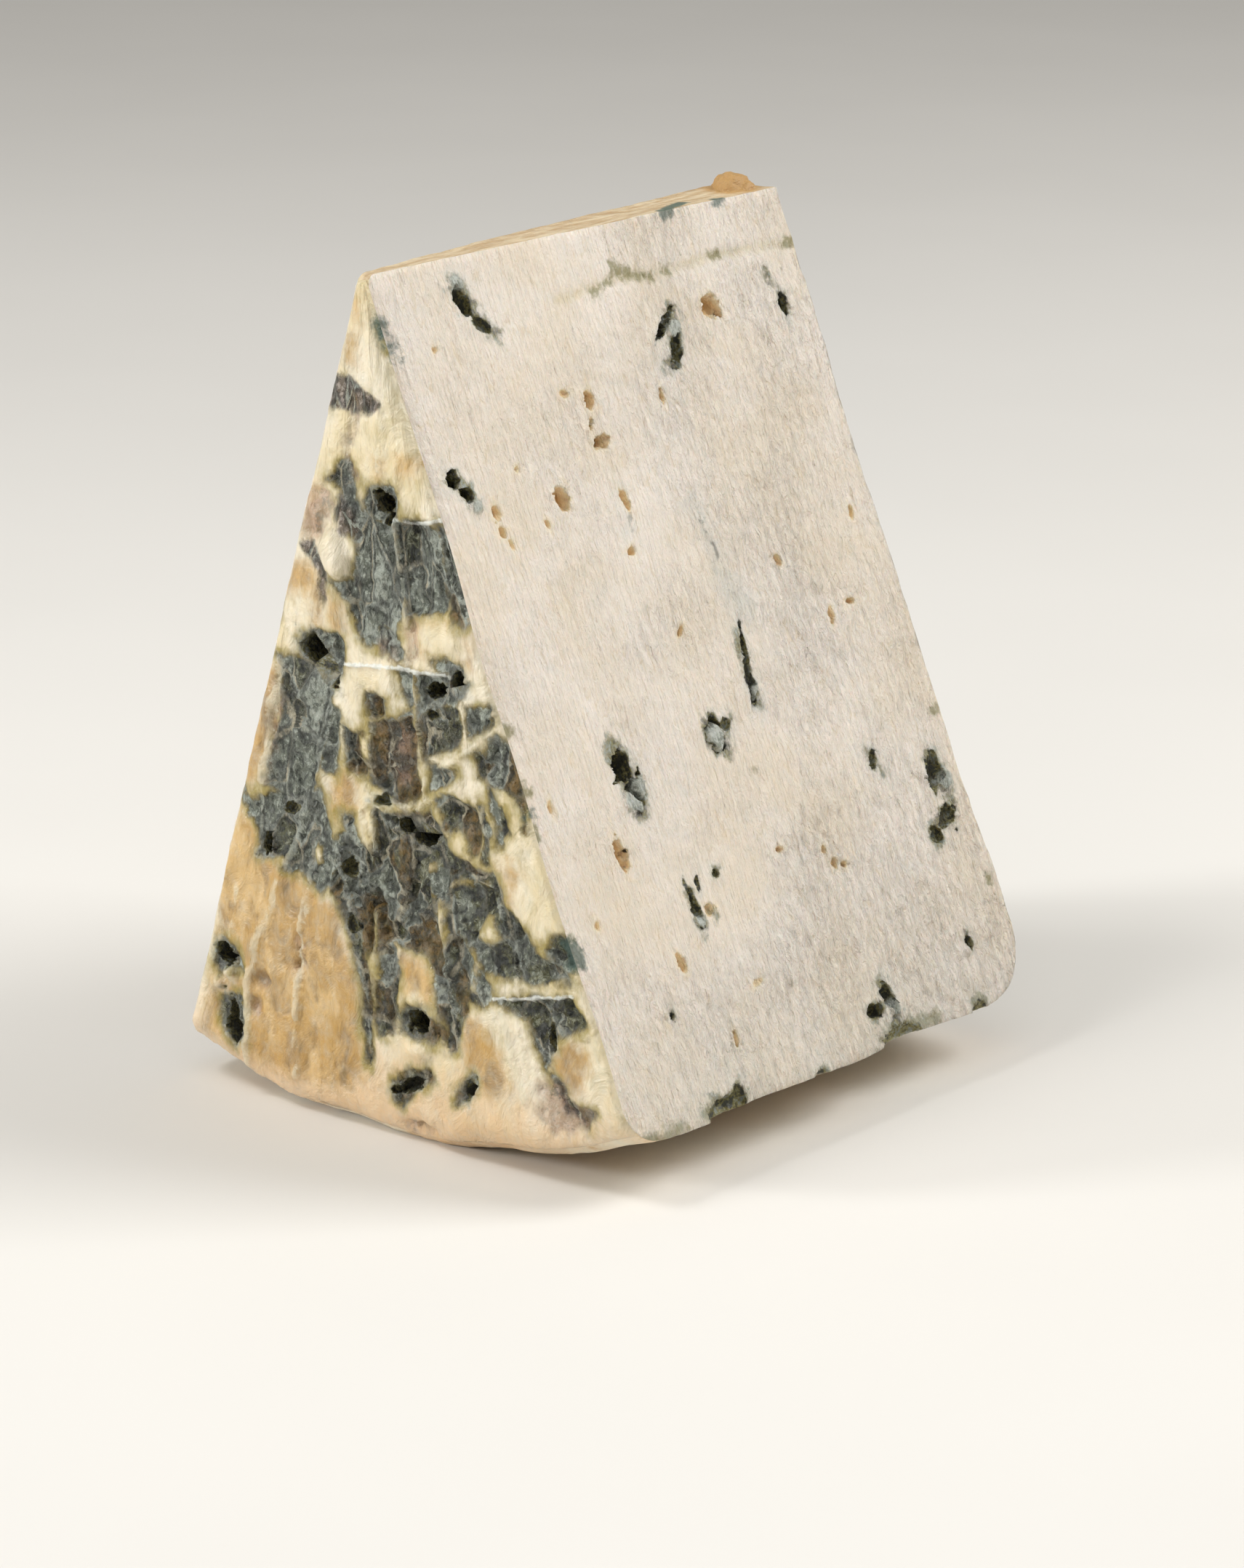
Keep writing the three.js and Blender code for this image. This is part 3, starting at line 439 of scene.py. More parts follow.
# Raised lines that creased wrapping pressed into the front rind: a route, width and height
RIDGES = [
    ([(5.1, 75), (6.0, 68.4), (7.6, 59)], 1.1, 0.5),
    ([(7.6, 59), (8.2, 55), (9.4, 48), (9.6, 43)], 0.8, 0.45),
    ([(0.9, 54.6), (1.0, 45.6)], 0.9, 0.45),
    ([(-6.9, 51.8), (-7.9, 41.4)], 1.0, 0.45),
    ([(-9.6, 39), (-12.6, 31.4), (-15.6, 25)], 1.4, 0.5),
    ([(-14.4, 28.4), (-15.9, 24.1), (-18.7, 18.8), (-19.8, 11.6), (-20, 4.5)], 1.8, 0.55),
    ([(-13.0, 55.7), (-15.2, 47.6), (-16.5, 40.4)], 1.9, 0.55),
    ([(-10.1, 27), (-10.9, 20.6), (-11.6, 13.4), (-11.9, 4.5)], 1.2, 0.5),
    ([(-21.2, 26), (-22.3, 22), (-22.8, 19.6)], 1.2, 0.35),
    ([(-8.6, 33.6), (-9.7, 24.3)], 1.1, 0.4),
    ([(-4.6, 33), (-2.6, 26), (0, 17), (0.3, 6)], 0.9, 0.45),
    ([(1.3, 40.7), (1.5, 35.4)], 0.8, 0.35),
    ([(17, 46), (18.8, 41.4), (20.6, 37)], 1.0, 0.5),
    ([(9.9, 35), (7.8, 31.4), (5.6, 27.9), (5.3, 23)], 0.9, 0.45),
    ([(20.8, 33), (23.2, 27), (26.6, 13)], 0.9, 0.45),
    ([(21.4, 20), (24.6, 10)], 1.8, 0.5),
    ([(11.4, 34), (11.8, 29), (13.2, 20), (14.2, 12)], 0.9, 0.45),
    ([(29.3, 17.5), (31.6, 18.9), (33.9, 19.6)], 0.9, 0.4),
    ([(11, 47), (17.2, 50.6)], 1.0, 0.35),
    ([(16, 51), (18, 54), (20.4, 55.4)], 0.6, 0.35),
    ([(-3.1, 49), (-2.6, 45.7), (-0.8, 43.6), (1, 41.4), (2.8, 40)], 0.6, 0.4),
    ([(2.8, 42.4), (5.4, 41.6), (8.2, 41.4), (11.4, 43.8)], 0.6, 0.4),
    ([(-7.2, 41), (-10.4, 35.7), (-14.7, 27.9), (-15.9, 24.1)], 0.6, 0.45),
    ([(10.2, 46.4), (14.6, 47.1)], 0.6, 0.35),
    ([(-17.6, 31.4), (-15.4, 31.9), (-15, 33)], 0.6, 0.35),
    ([(-10.6, 59.4), (-9.4, 57.2), (-6, 60)], 0.6, 0.3),
    ([(8.4, 52.8), (11.6, 55.8), (16.4, 58.6)], 0.6, 0.4),
    ([(23, 20.6), (24.2, 17.6), (24.8, 14.6)], 0.6, 0.35),
    ([(27.8, 20.4), (28.2, 17), (28.4, 14.4)], 0.6, 0.35),
    ([(-0.6, 40.6), (0.6, 36), (1.2, 30.6)], 0.6, 0.35),
    ([(11.6, 36.4), (14.6, 35.4), (19.8, 34.6)], 0.6, 0.4),
    ([(3, 84), (3.3, 79.6)], 0.9, 0.3),
    ([(5.6, 82), (5.9, 77.6)], 0.7, 0.3),
]

# Thin white lines where the wrapping's sharpest folds lay
THREADS = [
    [(-3.1, 57), (-0.4, 57.3), (3.4, 57.8), (7.4, 57.9), (14, 58.4)],
    [(20.4, 21.3), (25, 22.5), (31.8, 24.3)],
    [(5.2, 75.2), (8, 75.1), (11.3, 76)],
]
THREAD_WIDTH = 0.5
THREAD_HEIGHT = 0.35

# Pale lumps on the front rind: x, height, size across and upright, how far they stand out, and lean
RIND_LUMPS = [
    (-4.0, 69.9, 4.4, 6.8, 1.5, 22),
    (-22.6, 15.2, 2.6, 2.2, 1.1, 0),
    (-24.6, 13.4, 1.8, 1.8, 0.8, 0),
    (7.4, 18.2, 2.8, 1.8, 0.7, 0),
    (8.4, 12.4, 6.4, 2.6, 0.6, 14),
    (-7.6, 33.0, 1.8, 3.0, 0.5, 0),
    (14.4, 62.6, 3.4, 2.6, 0.3, 0),
]

# The dried crust at the back of the tip
CRUST_CENTRE = (-3.4, 33.6, 102.2)
CRUST_SIZE = (5.9, 5.6, 4.7)
CRUST_PIVOT = (-3.1, 33.6, 101.0)

# The faces turned away from the viewer are finished by rule: holes scattered over the left-hand cut, and
# holes and creases over the back rind, one to each cell of a grid
Grid = namedtuple("Grid", "columns rows first second seed")
LEFT_GRID = Grid(3, 4, (6, 68), (16, 100), 40)
LEFT_PITS = Grid(4, 6, (4, 70), (8, 102), 140)
BACK_GRID = Grid(2, 3, (-17, 27), (12, 66), 70)
BACK_CREASES = {"count": 6, "x": (-18, 31), "foot": (10, 30), "length": (14, 34), "width": 1.4, "seed": 90}
SCATTERED = {"wide": (1.5, 3.3), "tall": (2.6, 6.4), "deep": (2.4, 4.8), "lean": 70}
PIT_SHARE = 0.4
CELL_MARGIN = 0.2

# The mesh: how the first cube is divided, and the longest edges wanted on each face and near detail
FIRST_CUTS = (5, 17, 23)
PASSES = 30
EDGES = {"front": 0.89, "right": 1.45, "left": 2.6, "back": 2.4, "rim": 2.4, "tip": 1.1}
HOLE_EDGE = 0.47
LINE_EDGE = 0.48
KNIFE_EDGE_LENGTH = 0.5
FAR = -9.0


# Randomness that comes out the same in every run

def chance(n):
    """A repeatable random number from 0 to 1."""
    wave = math.sin(n * 127.1 + 11.7) * 43758.5453
    return wave - math.floor(wave)


def between(span, share):
    return span[0] + (span[1] - span[0]) * share


def fractal(points, size, seed=0, octaves=3):
    """Smooth random values, mostly from -1 to 1, with lumps of about the given size."""
    start = Vector((seed * 7.3, seed * 3.1, seed * 11.9))
    spots = np.zeros((len(points), 3))
    spots[:, :points.shape[1]] = points / np.asarray(size)
    return np.array([noise.fractal(start + Vector(spot), 1.0, 2.0, octaves) for spot in spots.tolist()])


def scrambled(cells, seed):
    """Three repeatable random numbers from 0 to 1 for each pair of whole numbers."""
    wave = np.sin(cells @ np.array([[127.1, 269.5, 419.2], [311.7, 183.3, 371.9]]) + seed) * 43758.5453
    return wave - np.floor(wave)


def scales(plane, size, seed):
    """For each point its scale's random level, its offset from the middle and its gap to the border."""
    spots = plane / np.asarray(size)
    home = np.floor(spots)
    nearest = np.full(len(spots), np.inf)
    second = nearest.copy()
    level = np.zeros(len(spots))
    offset = np.zeros_like(spots)
    for step in np.ndindex(3, 3):
        cells = home + step - 1
        random = scrambled(cells, seed)
        away = cells + random[:, :2] - spots
        gap = np.hypot(away[:, 0], away[:, 1])
        closer = gap < nearest
        second = np.where(closer, nearest, np.minimum(second, gap))
        nearest = np.where(closer, gap, nearest)
        level = np.where(closer, random[:, 2], level)
        offset = np.where(closer[:, None], away, offset)
    return level, offset, second - nearest


def lumps(p, q, height, period):
    """Soft unevenness, the same as the solid's."""
    u = p / period
    v = q / period
    first = np.sin(u * 5.1 + 1.3 * np.sin(v * 3.7))
    second = np.sin(v * 4.3 + 1.7 * np.sin(u * 2.9 + 0.6))
    return height * 0.5 * (first + second)


def smooth(value, start, end):
    """0 before start, 1 after end, and an S-curve between."""
    share = np.clip((value - start) / (end - start), 0, 1)
    return share * share * (3 - 2 * share)


# Distances in a plane

def to_segment(points, start, end):
    run = np.subtract(end, start)
    offset = points - np.asarray(start)
    share = np.clip(offset @ run / (run @ run), 0, 1)
    return np.linalg.norm(offset - share[:, None] * run, axis=1)


def to_route(points, route):
    return np.min([to_segment(points, a, b) for a, b in zip(route, route[1:])], axis=0)


def inside(plane, outline):
    """How far each point lies inside a closed outline, and less than 0 outside it."""
    closed = outline + outline[:1]
    crossings = np.zeros(len(plane), dtype=bool)
    for (x1, y1), (x2, y2) in zip(closed, closed[1:]):
        spans = (y1 > plane[:, 1]) != (y2 > plane[:, 1])
        beside = (plane[:, 0] - x1) * abs(y2 - y1) < (plane[:, 1] - y1) * (x2 - x1) * np.sign(y2 - y1)
        crossings ^= spans & beside
    return to_route(plane, closed) * np.where(crossings, 1, -1)


def warped(plane, coarse, fine, seed):
    """The points moved about a little, so that outlines and lines come out irregular."""
    moved = plane.copy()
    for axis in (0, 1):
        wide = coarse * fractal(plane, 4.0, seed + axis, 1)
        moved[:, axis] += wide + fine * fractal(plane, 1.2, seed + axis + 5, 2)
    return moved


# The smooth wedge

Wheel = namedtuple("Wheel", "radius height left right")


def rounded_edge(p, q, radius):
    """Where points at distance p from one face and q from the other go when their edge is rounded."""
    layer = np.minimum(p, q)
    inner = np.maximum(radius - layer, 1e-9)
    away = np.abs(p - q)
    turn = math.pi / 4 * (1 - np.minimum(away / inner, 1))
    along = layer + inner * (1 - np.sin(turn))
    inward = layer + inner * (1 - np.cos(turn))
    moved = away < inner
    first = np.where(p > q, along, inward)
    second = np.where(p > q, inward, along)
    return np.where(moved, first, p), np.where(moved, second, q)


def left_shift(deep, slant, wheel):
    """How far the left cut lies to the left of one through the wheel's axis."""
    share = np.clip(deep / wheel.height, 0, 1)
    width = NOSE_WIDTH_FRONT + NOSE_WIDTH_GROWTH * np.power(share, NOSE_WIDTH_POWER)
    aimed = NOSE_OFFSET * (math.sin(wheel.left) + math.sin(wheel.right))
    return (width - aimed) * (1 - MISS_FADE * slant / wheel.radius)


def distances(unit, wheel):
    """Distances to the left, right, front, back, rim and tip faces of points on the unit cube."""
    across, deep, down = unit.T
    length = wheel.radius - NOSE_OFFSET
    chord = (NOSE_OFFSET + length * down) * (wheel.left + wheel.right)
    return {
        "left": chord * across,
        "right": chord * (1 - across),
        "front": wheel.height * deep,
        "back": wheel.height * (1 - deep),
        "rim": length * (1 - down),
        "tip": length * down,
    }


def body_places(unit, wheel):
    """Places on the smooth wedge of points on the unit cube."""
    across = unit[:, 0]
    near = distances(unit, wheel)
    length = wheel.radius - NOSE_OFFSET
    ahead = near["front"] < near["back"]
    rim_ahead, front = rounded_edge(near["rim"], near["front"], FRONT_SHOULDER)
    rim_behind, back = rounded_edge(near["rim"], near["back"], BACK_SHOULDER)
    to_tip, tip_front = rounded_edge(length - rim_ahead, front, TIP_ROUND)
    upper = to_tip < rim_ahead
    rim_ahead = np.where(upper, length - to_tip, rim_ahead)
    front = np.where(upper, tip_front, front)
    to_rim = np.where(ahead, rim_ahead, rim_behind)
    to_front = np.where(ahead, front, wheel.height - back)
    slant = wheel.radius - to_rim
    chord = slant * (wheel.left + wheel.right)
    widest = chord * WIDEST_EDGE_SHARE
    bevel = TIP_BEVEL + (KNIFE_EDGE - TIP_BEVEL) * smooth(slant, *TIP_BEVEL_SPAN)
    to_right, to_front = rounded_edge(chord * (1 - across), to_front, np.minimum(bevel, widest))
    to_left, to_front = rounded_edge(chord * across, to_front, np.minimum(KNIFE_EDGE, widest))
    moved = np.where(across > 0.5, 1 - to_right / chord, to_left / chord)
    turned = moved * (wheel.left + wheel.right) - wheel.left
    places = np.stack((
        slant * np.sin(turned) - left_shift(to_front, slant, wheel) * (1 - moved),
        to_front - wheel.height / 2,
        wheel.radius - FOOT_DEPTH - slant * np.cos(turned),
    ), axis=1)
    return places + unevenness(places, near, slant, across, wheel)


def unevenness(places, near, slant, across, wheel):
    """How far the soft wheel departs from its smooth form."""
    x, y, z = places.T
    close = {side: 1 - smooth(gap, 0, LUMP_REACH) for side, gap in near.items()}
    below_tip = smooth(slant, *SMOOTH_TIP_SPAN)
    sag = BACK_SAG * smooth(slant, *BACK_SAG_SPAN)
    swell = lumps(x, y, *RIM_LUMPS) * close["rim"]
    angle = across * (wheel.left + wheel.right) - wheel.left
    waves = lumps(y, z, *CUT_WAVES) * np.maximum(close["left"], close["right"]) * (1 - close["front"])
    return np.stack((
        swell * np.sin(angle) + waves * below_tip,
        close["front"] * lumps(x, z, *FRONT_LUMPS) * below_tip
        + close["back"] * (sag + lumps(x, z, *BACK_LUMPS) * below_tip),
        -swell * np.cos(angle),
    ), axis=1)


def normals(places, sides):
    """Smooth normals of the mesh's points."""
    a, b, c = places[sides[:, 0]], places[sides[:, 1]], places[sides[:, 2]]
    facing = np.cross(b - a, c - a)
    total = np.stack([
        np.bincount(sides.ravel(), np.repeat(facing[:, axis], 3), len(places)) for axis in range(3)
    ], axis=1)
    return total / np.maximum(np.linalg.norm(total, axis=1), 1e-12)[:, None]


def outward(unit, wheel):
    """Roughly which way each point faces, while there are too few points for smooth normals."""
    angle = unit[:, 0] * (wheel.left + wheel.right) - wheel.left
    still = np.zeros(len(unit))
    ways = {
        "right": (math.cos(wheel.right), 0, math.sin(wheel.right)),
        "left": (-math.cos(wheel.left), 0, math.sin(wheel.left)),
        "front": (0, -1, 0),
        "back": (0, 1, 0),
        "tip": (0, 0, 1),
        "rim": np.stack((np.sin(angle), still, -np.cos(angle)), axis=1),
    }
    near = distances(unit, wheel)
    total = sum((near[name] == 0)[:, None] * np.asarray(way) for name, way in ways.items())
    return total / np.linalg.norm(total, axis=1)[:, None]


# What each face of the wedge adds: a height along its normal, a shift along, up and out of its plane,
# the distances that its finish is painted by, and the longest edge wanted

Skin = namedtuple("Skin", "height shift fields edge")
Face = namedtuple("Face", "origin along up")


def faces(wheel):
    axis = (0, -wheel.height / 2, wheel.radius - FOOT_DEPTH)
    return {
        "right": Face(axis, (0, 1, 0), (-math.sin(wheel.right), 0, math.cos(wheel.right))),
        "left": Face(axis, (0, -1, 0), (math.sin(wheel.left), 0, math.cos(wheel.left))),
        "front": Face((0, -wheel.height / 2, 0), (1, 0, 0), (0, 0, 1)),
        "back": Face((0, wheel.height / 2, 0), (-1, 0, 0), (0, 0, 1)),
    }


# A mouldy hole bulges under its mouth, and a pit is a plain bowl: how far their sides turn in
TURNS = {BLUE: math.radians(104), TAN: math.radians(66)}
MOUTH_RAGGED = (0.36, 0.3)
MERGE_POWER = 3


def hollows(plane, holes, seed):
    """The shift that holes make, and how far each point lies inside a mouldy one and inside a pit."""
    ragged = 1 + MOUTH_RAGGED[0] * fractal(plane, 1.9, seed, 2)
    ragged += MOUTH_RAGGED[1] * fractal(plane, 0.7, seed + 1, 2)
    sideways = np.zeros((len(plane), 2))
    depths = np.zeros(len(plane))
    total = np.full(len(plane), 1e-9)
    within = {BLUE: np.full(len(plane), FAR), TAN: np.full(len(plane), FAR)}
    for hole in holes:
        lean = math.radians(hole.tilt)
        offset = plane - (hole.along, hole.up)
        across = offset @ (math.cos(lean), math.sin(lean))
        upright = offset @ (-math.sin(lean), math.cos(lean))
        share = np.hypot(across / hole.wide, upright / hole.tall) * 2 * ragged
        radius = (hole.wide + hole.tall) / 4
        within[hole.kind] = np.maximum(within[hole.kind], (1 - share) * radius)
        turn = TURNS[hole.kind]
        angle = turn * np.clip(share, 1e-6, 1)
        depth = hole.deep * (np.cos(angle) - math.cos(turn)) / (1 - math.cos(turn))
        spread = np.sin(angle) / (math.sin(turn) * np.clip(share, 1e-6, 1)) - 1
        sideways += offset * (spread * depth)[:, None]
        total += depth
        depths += depth ** MERGE_POWER
    shift = np.column_stack((sideways / total[:, None], -depths ** (1 / MERGE_POWER)))
    return shift, within


def on_cut(rows):
    """Holes given by depth and slant, as holes of the right-hand face's plane."""
    return [Hole(row[0], -row[1], *row[2:]) for row in rows]


def scattered(grid, kind):
    """One hole in each cell of a grid, moved about inside its cell."""
    found = []
    for row in range(grid.rows):
        for column in range(grid.columns):
            n = grid.seed + row * grid.columns + column
            spot = [CELL_MARGIN + (1 - 2 * CELL_MARGIN) * chance(m) for m in (n, n + 0.5)]
            first = between(grid.first, (column + spot[0]) / grid.columns)
            second = between(grid.second, (row + spot[1]) / grid.rows)
            size = [
                between(SCATTERED[name], chance(n + 0.25 * (i + 1)))
                for i, name in enumerate(("wide", "tall", "deep"))
            ]
            found.append((first, second, *size, SCATTERED["lean"] * (chance(n + 0.9) - 0.5), kind))
    return found


def smaller(rows, share):
    return [(row[0], row[1], *(size * share for size in row[2:5]), *row[5:]) for row in rows]


def mounds(plane, rows):
    """Height of round lumps, and how far each point lies inside one. Rows: along, up, radius, height."""
    height = np.zeros(len(plane))
    within = np.full(len(plane), FAR)
    for along, up, radius, tall in rows:
        away = np.hypot(plane[:, 0] - along, plane[:, 1] - up)
        height = np.maximum(height, tall * np.clip(1 - (away / radius) ** 2, 0, 1) ** 0.8)
        within = np.maximum(within, radius - away)
    return height, within


def torn_curd(plane, coarse):
    """Height of the torn scales that the wire leaves on the paste, larger where coarse is 1."""
    height = 0.14 * fractal(plane, 9.0, 27, 2)
    for size, tall, seed in (((2.3, 5.2), 0.2, 3.0), ((1.3, 2.6), 0.12, 5.0)):
        spots = warped(plane, 0.9, 0.5, 21 + seed)
        level, offset, gap = scales(spots, size, seed)
        shingle = 0.6 * level + (0.4 + 0.8 * level) * offset[:, 1] - 0.35 * (1 - smooth(gap, 0.0, 0.2))
        height += tall * (0.3 + 1.1 * coarse) * shingle
    return height + (0.08 + 0.1 * coarse) * fractal(plane, (0.9, 1.7), 24, 3)


def cut_skin(plane, holes, mounds_rows, seed):
    """What every cut face has: torn curd with holes, pits and lumps of mould."""
    depth = np.abs(plane[:, 0])
    slant = -plane[:, 1]
    coarse = 0.18 + 0.45 * smooth(depth, 24, 52) + 0.4 * smooth(slant, 70, 98)
    coarse = np.clip(coarse + 0.5 * fractal(plane, 15.0, seed + 9, 2), 0.05, 1)
    height = torn_curd(plane, coarse)
    shift, within = hollows(plane, holes, seed)
    lifted, fluff = mounds(warped(plane, 0.2, 0.25, seed + 3), mounds_rows)
    shift[:, 2] = np.minimum(shift[:, 2] + lifted, 0.3)
    hollow = np.maximum(within[BLUE], within[TAN])
    shift[:, 2] += 0.55 * smooth(hollow, 0.0, 0.7) * fractal(plane, 1.3, seed + 4, 3)
    fields = {"blue": within[BLUE], "tan": within[TAN], "fluff": fluff, "coarse": coarse}
    edge = np.where(np.abs(hollow) < 0.6, HOLE_EDGE, np.where(hollow > 0, HOLE_EDGE * 1.3, np.inf))
    return height, shift, fields, edge


def right_skin(plane, border):
    """The right-hand cut, which faces the viewer."""
    rows = [(depth, -slant, radius, tall) for depth, slant, radius, tall in CUT_LUMPS]
    height, shift, fields, edge = cut_skin(plane, on_cut(CUT_HOLES), rows, 31)
    down = warped(plane * (1, -1), 0.5, 0.35, 35)
    slant = down[:, 1]
    crease = to_route(down, TIP_CREASE)
    height = height * (0.45 + 0.55 * smooth(slant, 7.5, 12))
    height -= 0.32 * (1 - smooth(crease, 0.1, 0.8)) * smooth(down[:, 0], 26, 36)
    fields["crease"] = np.where(down[:, 0] > 28, 0.5 - crease, FAR)
    fields["haze"] = np.max([reach - to_route(down, route) for route, reach in HAZES], axis=0)
    fields["smear"] = np.max([reach - to_route(down, route) for route, reach in SMEARS], axis=0)
    fields["vein"] = np.max([0.3 - to_route(down, route) for route in VEINS], axis=0)
    fields["stain"] = np.max([reach - to_route(down, route) for route, reach in STAINS], axis=0)
    return Skin(height * smooth(border, 0, 0.9), shift, fields, np.minimum(edge, EDGES["right"]))


def left_skin(plane, border):
    """The left-hand cut, finished like the one that shows."""
    rows = scattered(LEFT_GRID, BLUE)[::2] + scattered(LEFT_GRID, TAN)[1::2]
    rows += smaller(scattered(LEFT_PITS, TAN), PIT_SHARE)
    holes = [Hole(-row[0], -row[1], *row[2:]) for row in rows]
    bumps = [
        (hole.along + 0.6, hole.up - hole.tall * 0.3, 0.9, hole.deep * 0.6)
        for hole in holes if hole.kind == BLUE
    ]
    height, shift, fields, edge = cut_skin(plane, holes, bumps, 41)
    fields["haze"] = fields["blue"] + 1.8
    fields["smear"] = fields["blue"] + 0.5
    fields["stain"] = 2.4 * fractal(plane, 7.0, 45, 2) - 1.6
    veins = 0.3 - 6 * np.abs(fractal(plane, 22.0, 46, 1))
    fields["vein"] = np.minimum(veins, 4 * fractal(plane, 9.0, 47, 2) - 1)
    fields["crease"] = np.full(len(plane), FAR)
    return Skin(height * smooth(border, 0, 0.9), shift, fields, np.minimum(edge * 2, EDGES["left"]))


def lines(plane, rows):
    """Height of raised lines, and how far each point lies inside one."""
    height = np.zeros(len(plane))
    within = np.full(len(plane), FAR)
    for route, width, tall in rows:
        away = to_route(plane, route)
        height = np.maximum(height, tall * np.clip(1 - (2 * away / width) ** 2, 0, 1) ** 0.7)
        within = np.maximum(within, width / 2 - away)
    return height, within


def rind_relief(plane, growths, seed):
    """Height of the rind: swollen cream, sunken dry mould with crags, and facets left by wrapping."""
    mould = np.max([growths[kind] for kind in (SLATE, MOSS, LILAC, BROWN)], axis=0)
    crags = 1 - 2.2 * np.abs(fractal(plane, 2.6, seed, 3))
    dust = fractal(plane, (0.9, 1.3), seed + 1, 3)
    waves = fractal(plane, (3.0, 7.0), seed + 2, 3)
    facet, offset, gap = scales(warped(plane, 0.6, 0.3, seed + 3), (3.4, 7.5), seed)
    folds = 0.5 * (facet - 0.5) + 1.2 * offset[:, 0] * (facet - 0.5) + 0.3 * (1 - smooth(gap, 0.05, 0.3))
    height = 0.35 * smooth(-mould, 0.0, 1.4) - 0.5 * smooth(mould, -0.1, 0.8)
    height += 0.2 * np.exp(-((mould + 0.4) / 0.35) ** 2)
    height += smooth(mould, -0.2, 0.8) * folds
    height += smooth(growths[SLATE], 0, 0.8) * (0.3 * dust + 0.2 * crags)
    height += smooth(growths[MOSS], 0, 0.8) * (0.5 * crags + 0.3 * dust - 0.15)
    height += smooth(growths[LILAC], 0, 0.5) * (0.3 + 0.3 * dust)
    height += smooth(growths[BROWN], 0, 0.5) * 0.16 * dust
    height += 0.2 * smooth(growths[OCHRE], -0.5, 1) * fractal(plane, (1.3, 8.0), seed + 6, 3)
    return height + 0.2 * waves


def front_skin(plane, border):
    """The rind that faces the viewer."""
    spots = warped(plane, 0.55, 0.4, 51)
    clear = np.max([inside(spots, outline) for outline in CLEAR], axis=0)
    growths = {
        kind: np.minimum(np.max([inside(spots, outline) for outline in outlines], axis=0), -clear)
        for kind, outlines in GROWTHS.items()
    }
    height = rind_relief(plane, growths, 55)
    bent = warped(plane, 0.35, 0.15, 61)
    raised, pale = lines(bent, RIDGES)
    thin, thread = lines(bent, [(route, THREAD_WIDTH, THREAD_HEIGHT) for route in THREADS])
    uneven = np.clip(0.7 + 1.1 * fractal(plane, 3.0, 63, 2), 0.0, 1.3)
    pale += 0.5 * (uneven - 1)
    holes = [Hole(*row) for row in RIND_HOLES]
    shift, within = hollows(plane, holes, 65)
    hollow = within[BLUE]
    height = (height + (raised + thin) * uneven) * (1 - smooth(hollow, -0.2, 0.3))
    shift[:, 2] += 0.5 * smooth(hollow, 0.0, 0.8) * fractal(plane, 1.3, 66, 3)
    for x, up, wide, tall, out, tilt in RIND_LUMPS:
        lean = math.radians(tilt)
        offset = plane - (x, up)
        across = offset @ (math.cos(lean), math.sin(lean))
        upright = offset @ (-math.sin(lean), math.cos(lean))
        share = np.hypot(across / wide, upright / tall) * 2
        height += out * np.clip(1 - share ** 2, 0, 1) ** 0.75
        for kind in growths:
            growths[kind] = np.minimum(growths[kind], (share - 1) * (wide + tall) / 4)
    fields = {**growths, "pale": pale, "thread": thread, "blue": hollow}
    edge = np.where(np.abs(hollow) < 0.6, HOLE_EDGE, EDGES["front"])
    edge = np.where(thread > -0.4, LINE_EDGE, edge)
    return Skin(height * smooth(border, 0, 0.8), shift, fields, edge)


def leaned(x, z):
    """The back rind narrows towards the tip, so what lies on it leans in with it."""
    return x * (1 - z / AXIS_HEIGHT)


def back_creases():
    rule = BACK_CREASES
    rows = []
    for i in range(rule["count"]):
        low = between(rule["foot"], chance(rule["seed"] + i))
        high = low + between(rule["length"], chance(rule["seed"] + i + 0.5))
        start = between(rule["x"], (i + 0.5) / rule["count"])
        rows.append(([(-leaned(start, low), low), (-leaned(start, high), high)], rule["width"], 0.55))
    return rows


def back_skin(plane, border):
    """The rind turned away from the viewer, with the same growths set out by rule."""
    spots = warped(plane, 1.4, 0.6, 71)
    level, _, gap = scales(spots, (9.0, 13.0), 8.0)
    plates = gap * 5.0
    cream = np.where(level < 0.45, 0.7 - plates, 9.0)
    thick = fractal(spots, 17.0, 73, 2) * 8
    growths = {
        SLATE: np.minimum(np.minimum(plates - 0.5, thick - 0.4), cream),
        MOSS: np.minimum(np.minimum(4.0 * fractal(spots, 8.0, 75, 2) - 0.4, plates - 0.2), cream),
        OCHRE: np.minimum(4.0 * fractal(spots, 19.0, 77, 2) + 1.2, cream),
        LILAC: 3.0 * fractal(spots, 9.0, 79, 2) - 1.6,
        BROWN: np.minimum(3.0 * fractal(spots, 7.0, 81, 2) - 1.2, cream),
    }
    height = rind_relief(plane, growths, 83)
    raised, pale = lines(warped(plane, 0.5, 0.2, 85), back_creases())
    holes = [Hole(-leaned(row[0], row[1]), *row[1:]) for row in scattered(BACK_GRID, BLUE)]
    shift, within = hollows(plane, holes, 87)
    hollow = within[BLUE]
    fields = {**growths, "pale": pale, "blue": hollow}
    edge = np.where(np.abs(hollow) < 0.6, HOLE_EDGE * 2, EDGES["back"])
    return Skin((height + raised) * smooth(border, 0, 0.8), shift, fields, edge)


SKINS = {"right": right_skin, "left": left_skin, "front": front_skin, "back": back_skin}
FIELDS = ("blue", "tan", "fluff", "coarse", "crease", "haze", "smear", "vein", "stain",
          OCHRE, BROWN, LILAC, MOSS, SLATE, "pale", "thread", "mark")
NEIGHBOURS = {
    "left": ("front", "back", "rim", "tip"),
    "right": ("front", "back", "rim", "tip"),
    "front": ("left", "right", "rim", "tip"),
    "back": ("left", "right", "rim", "tip"),
}


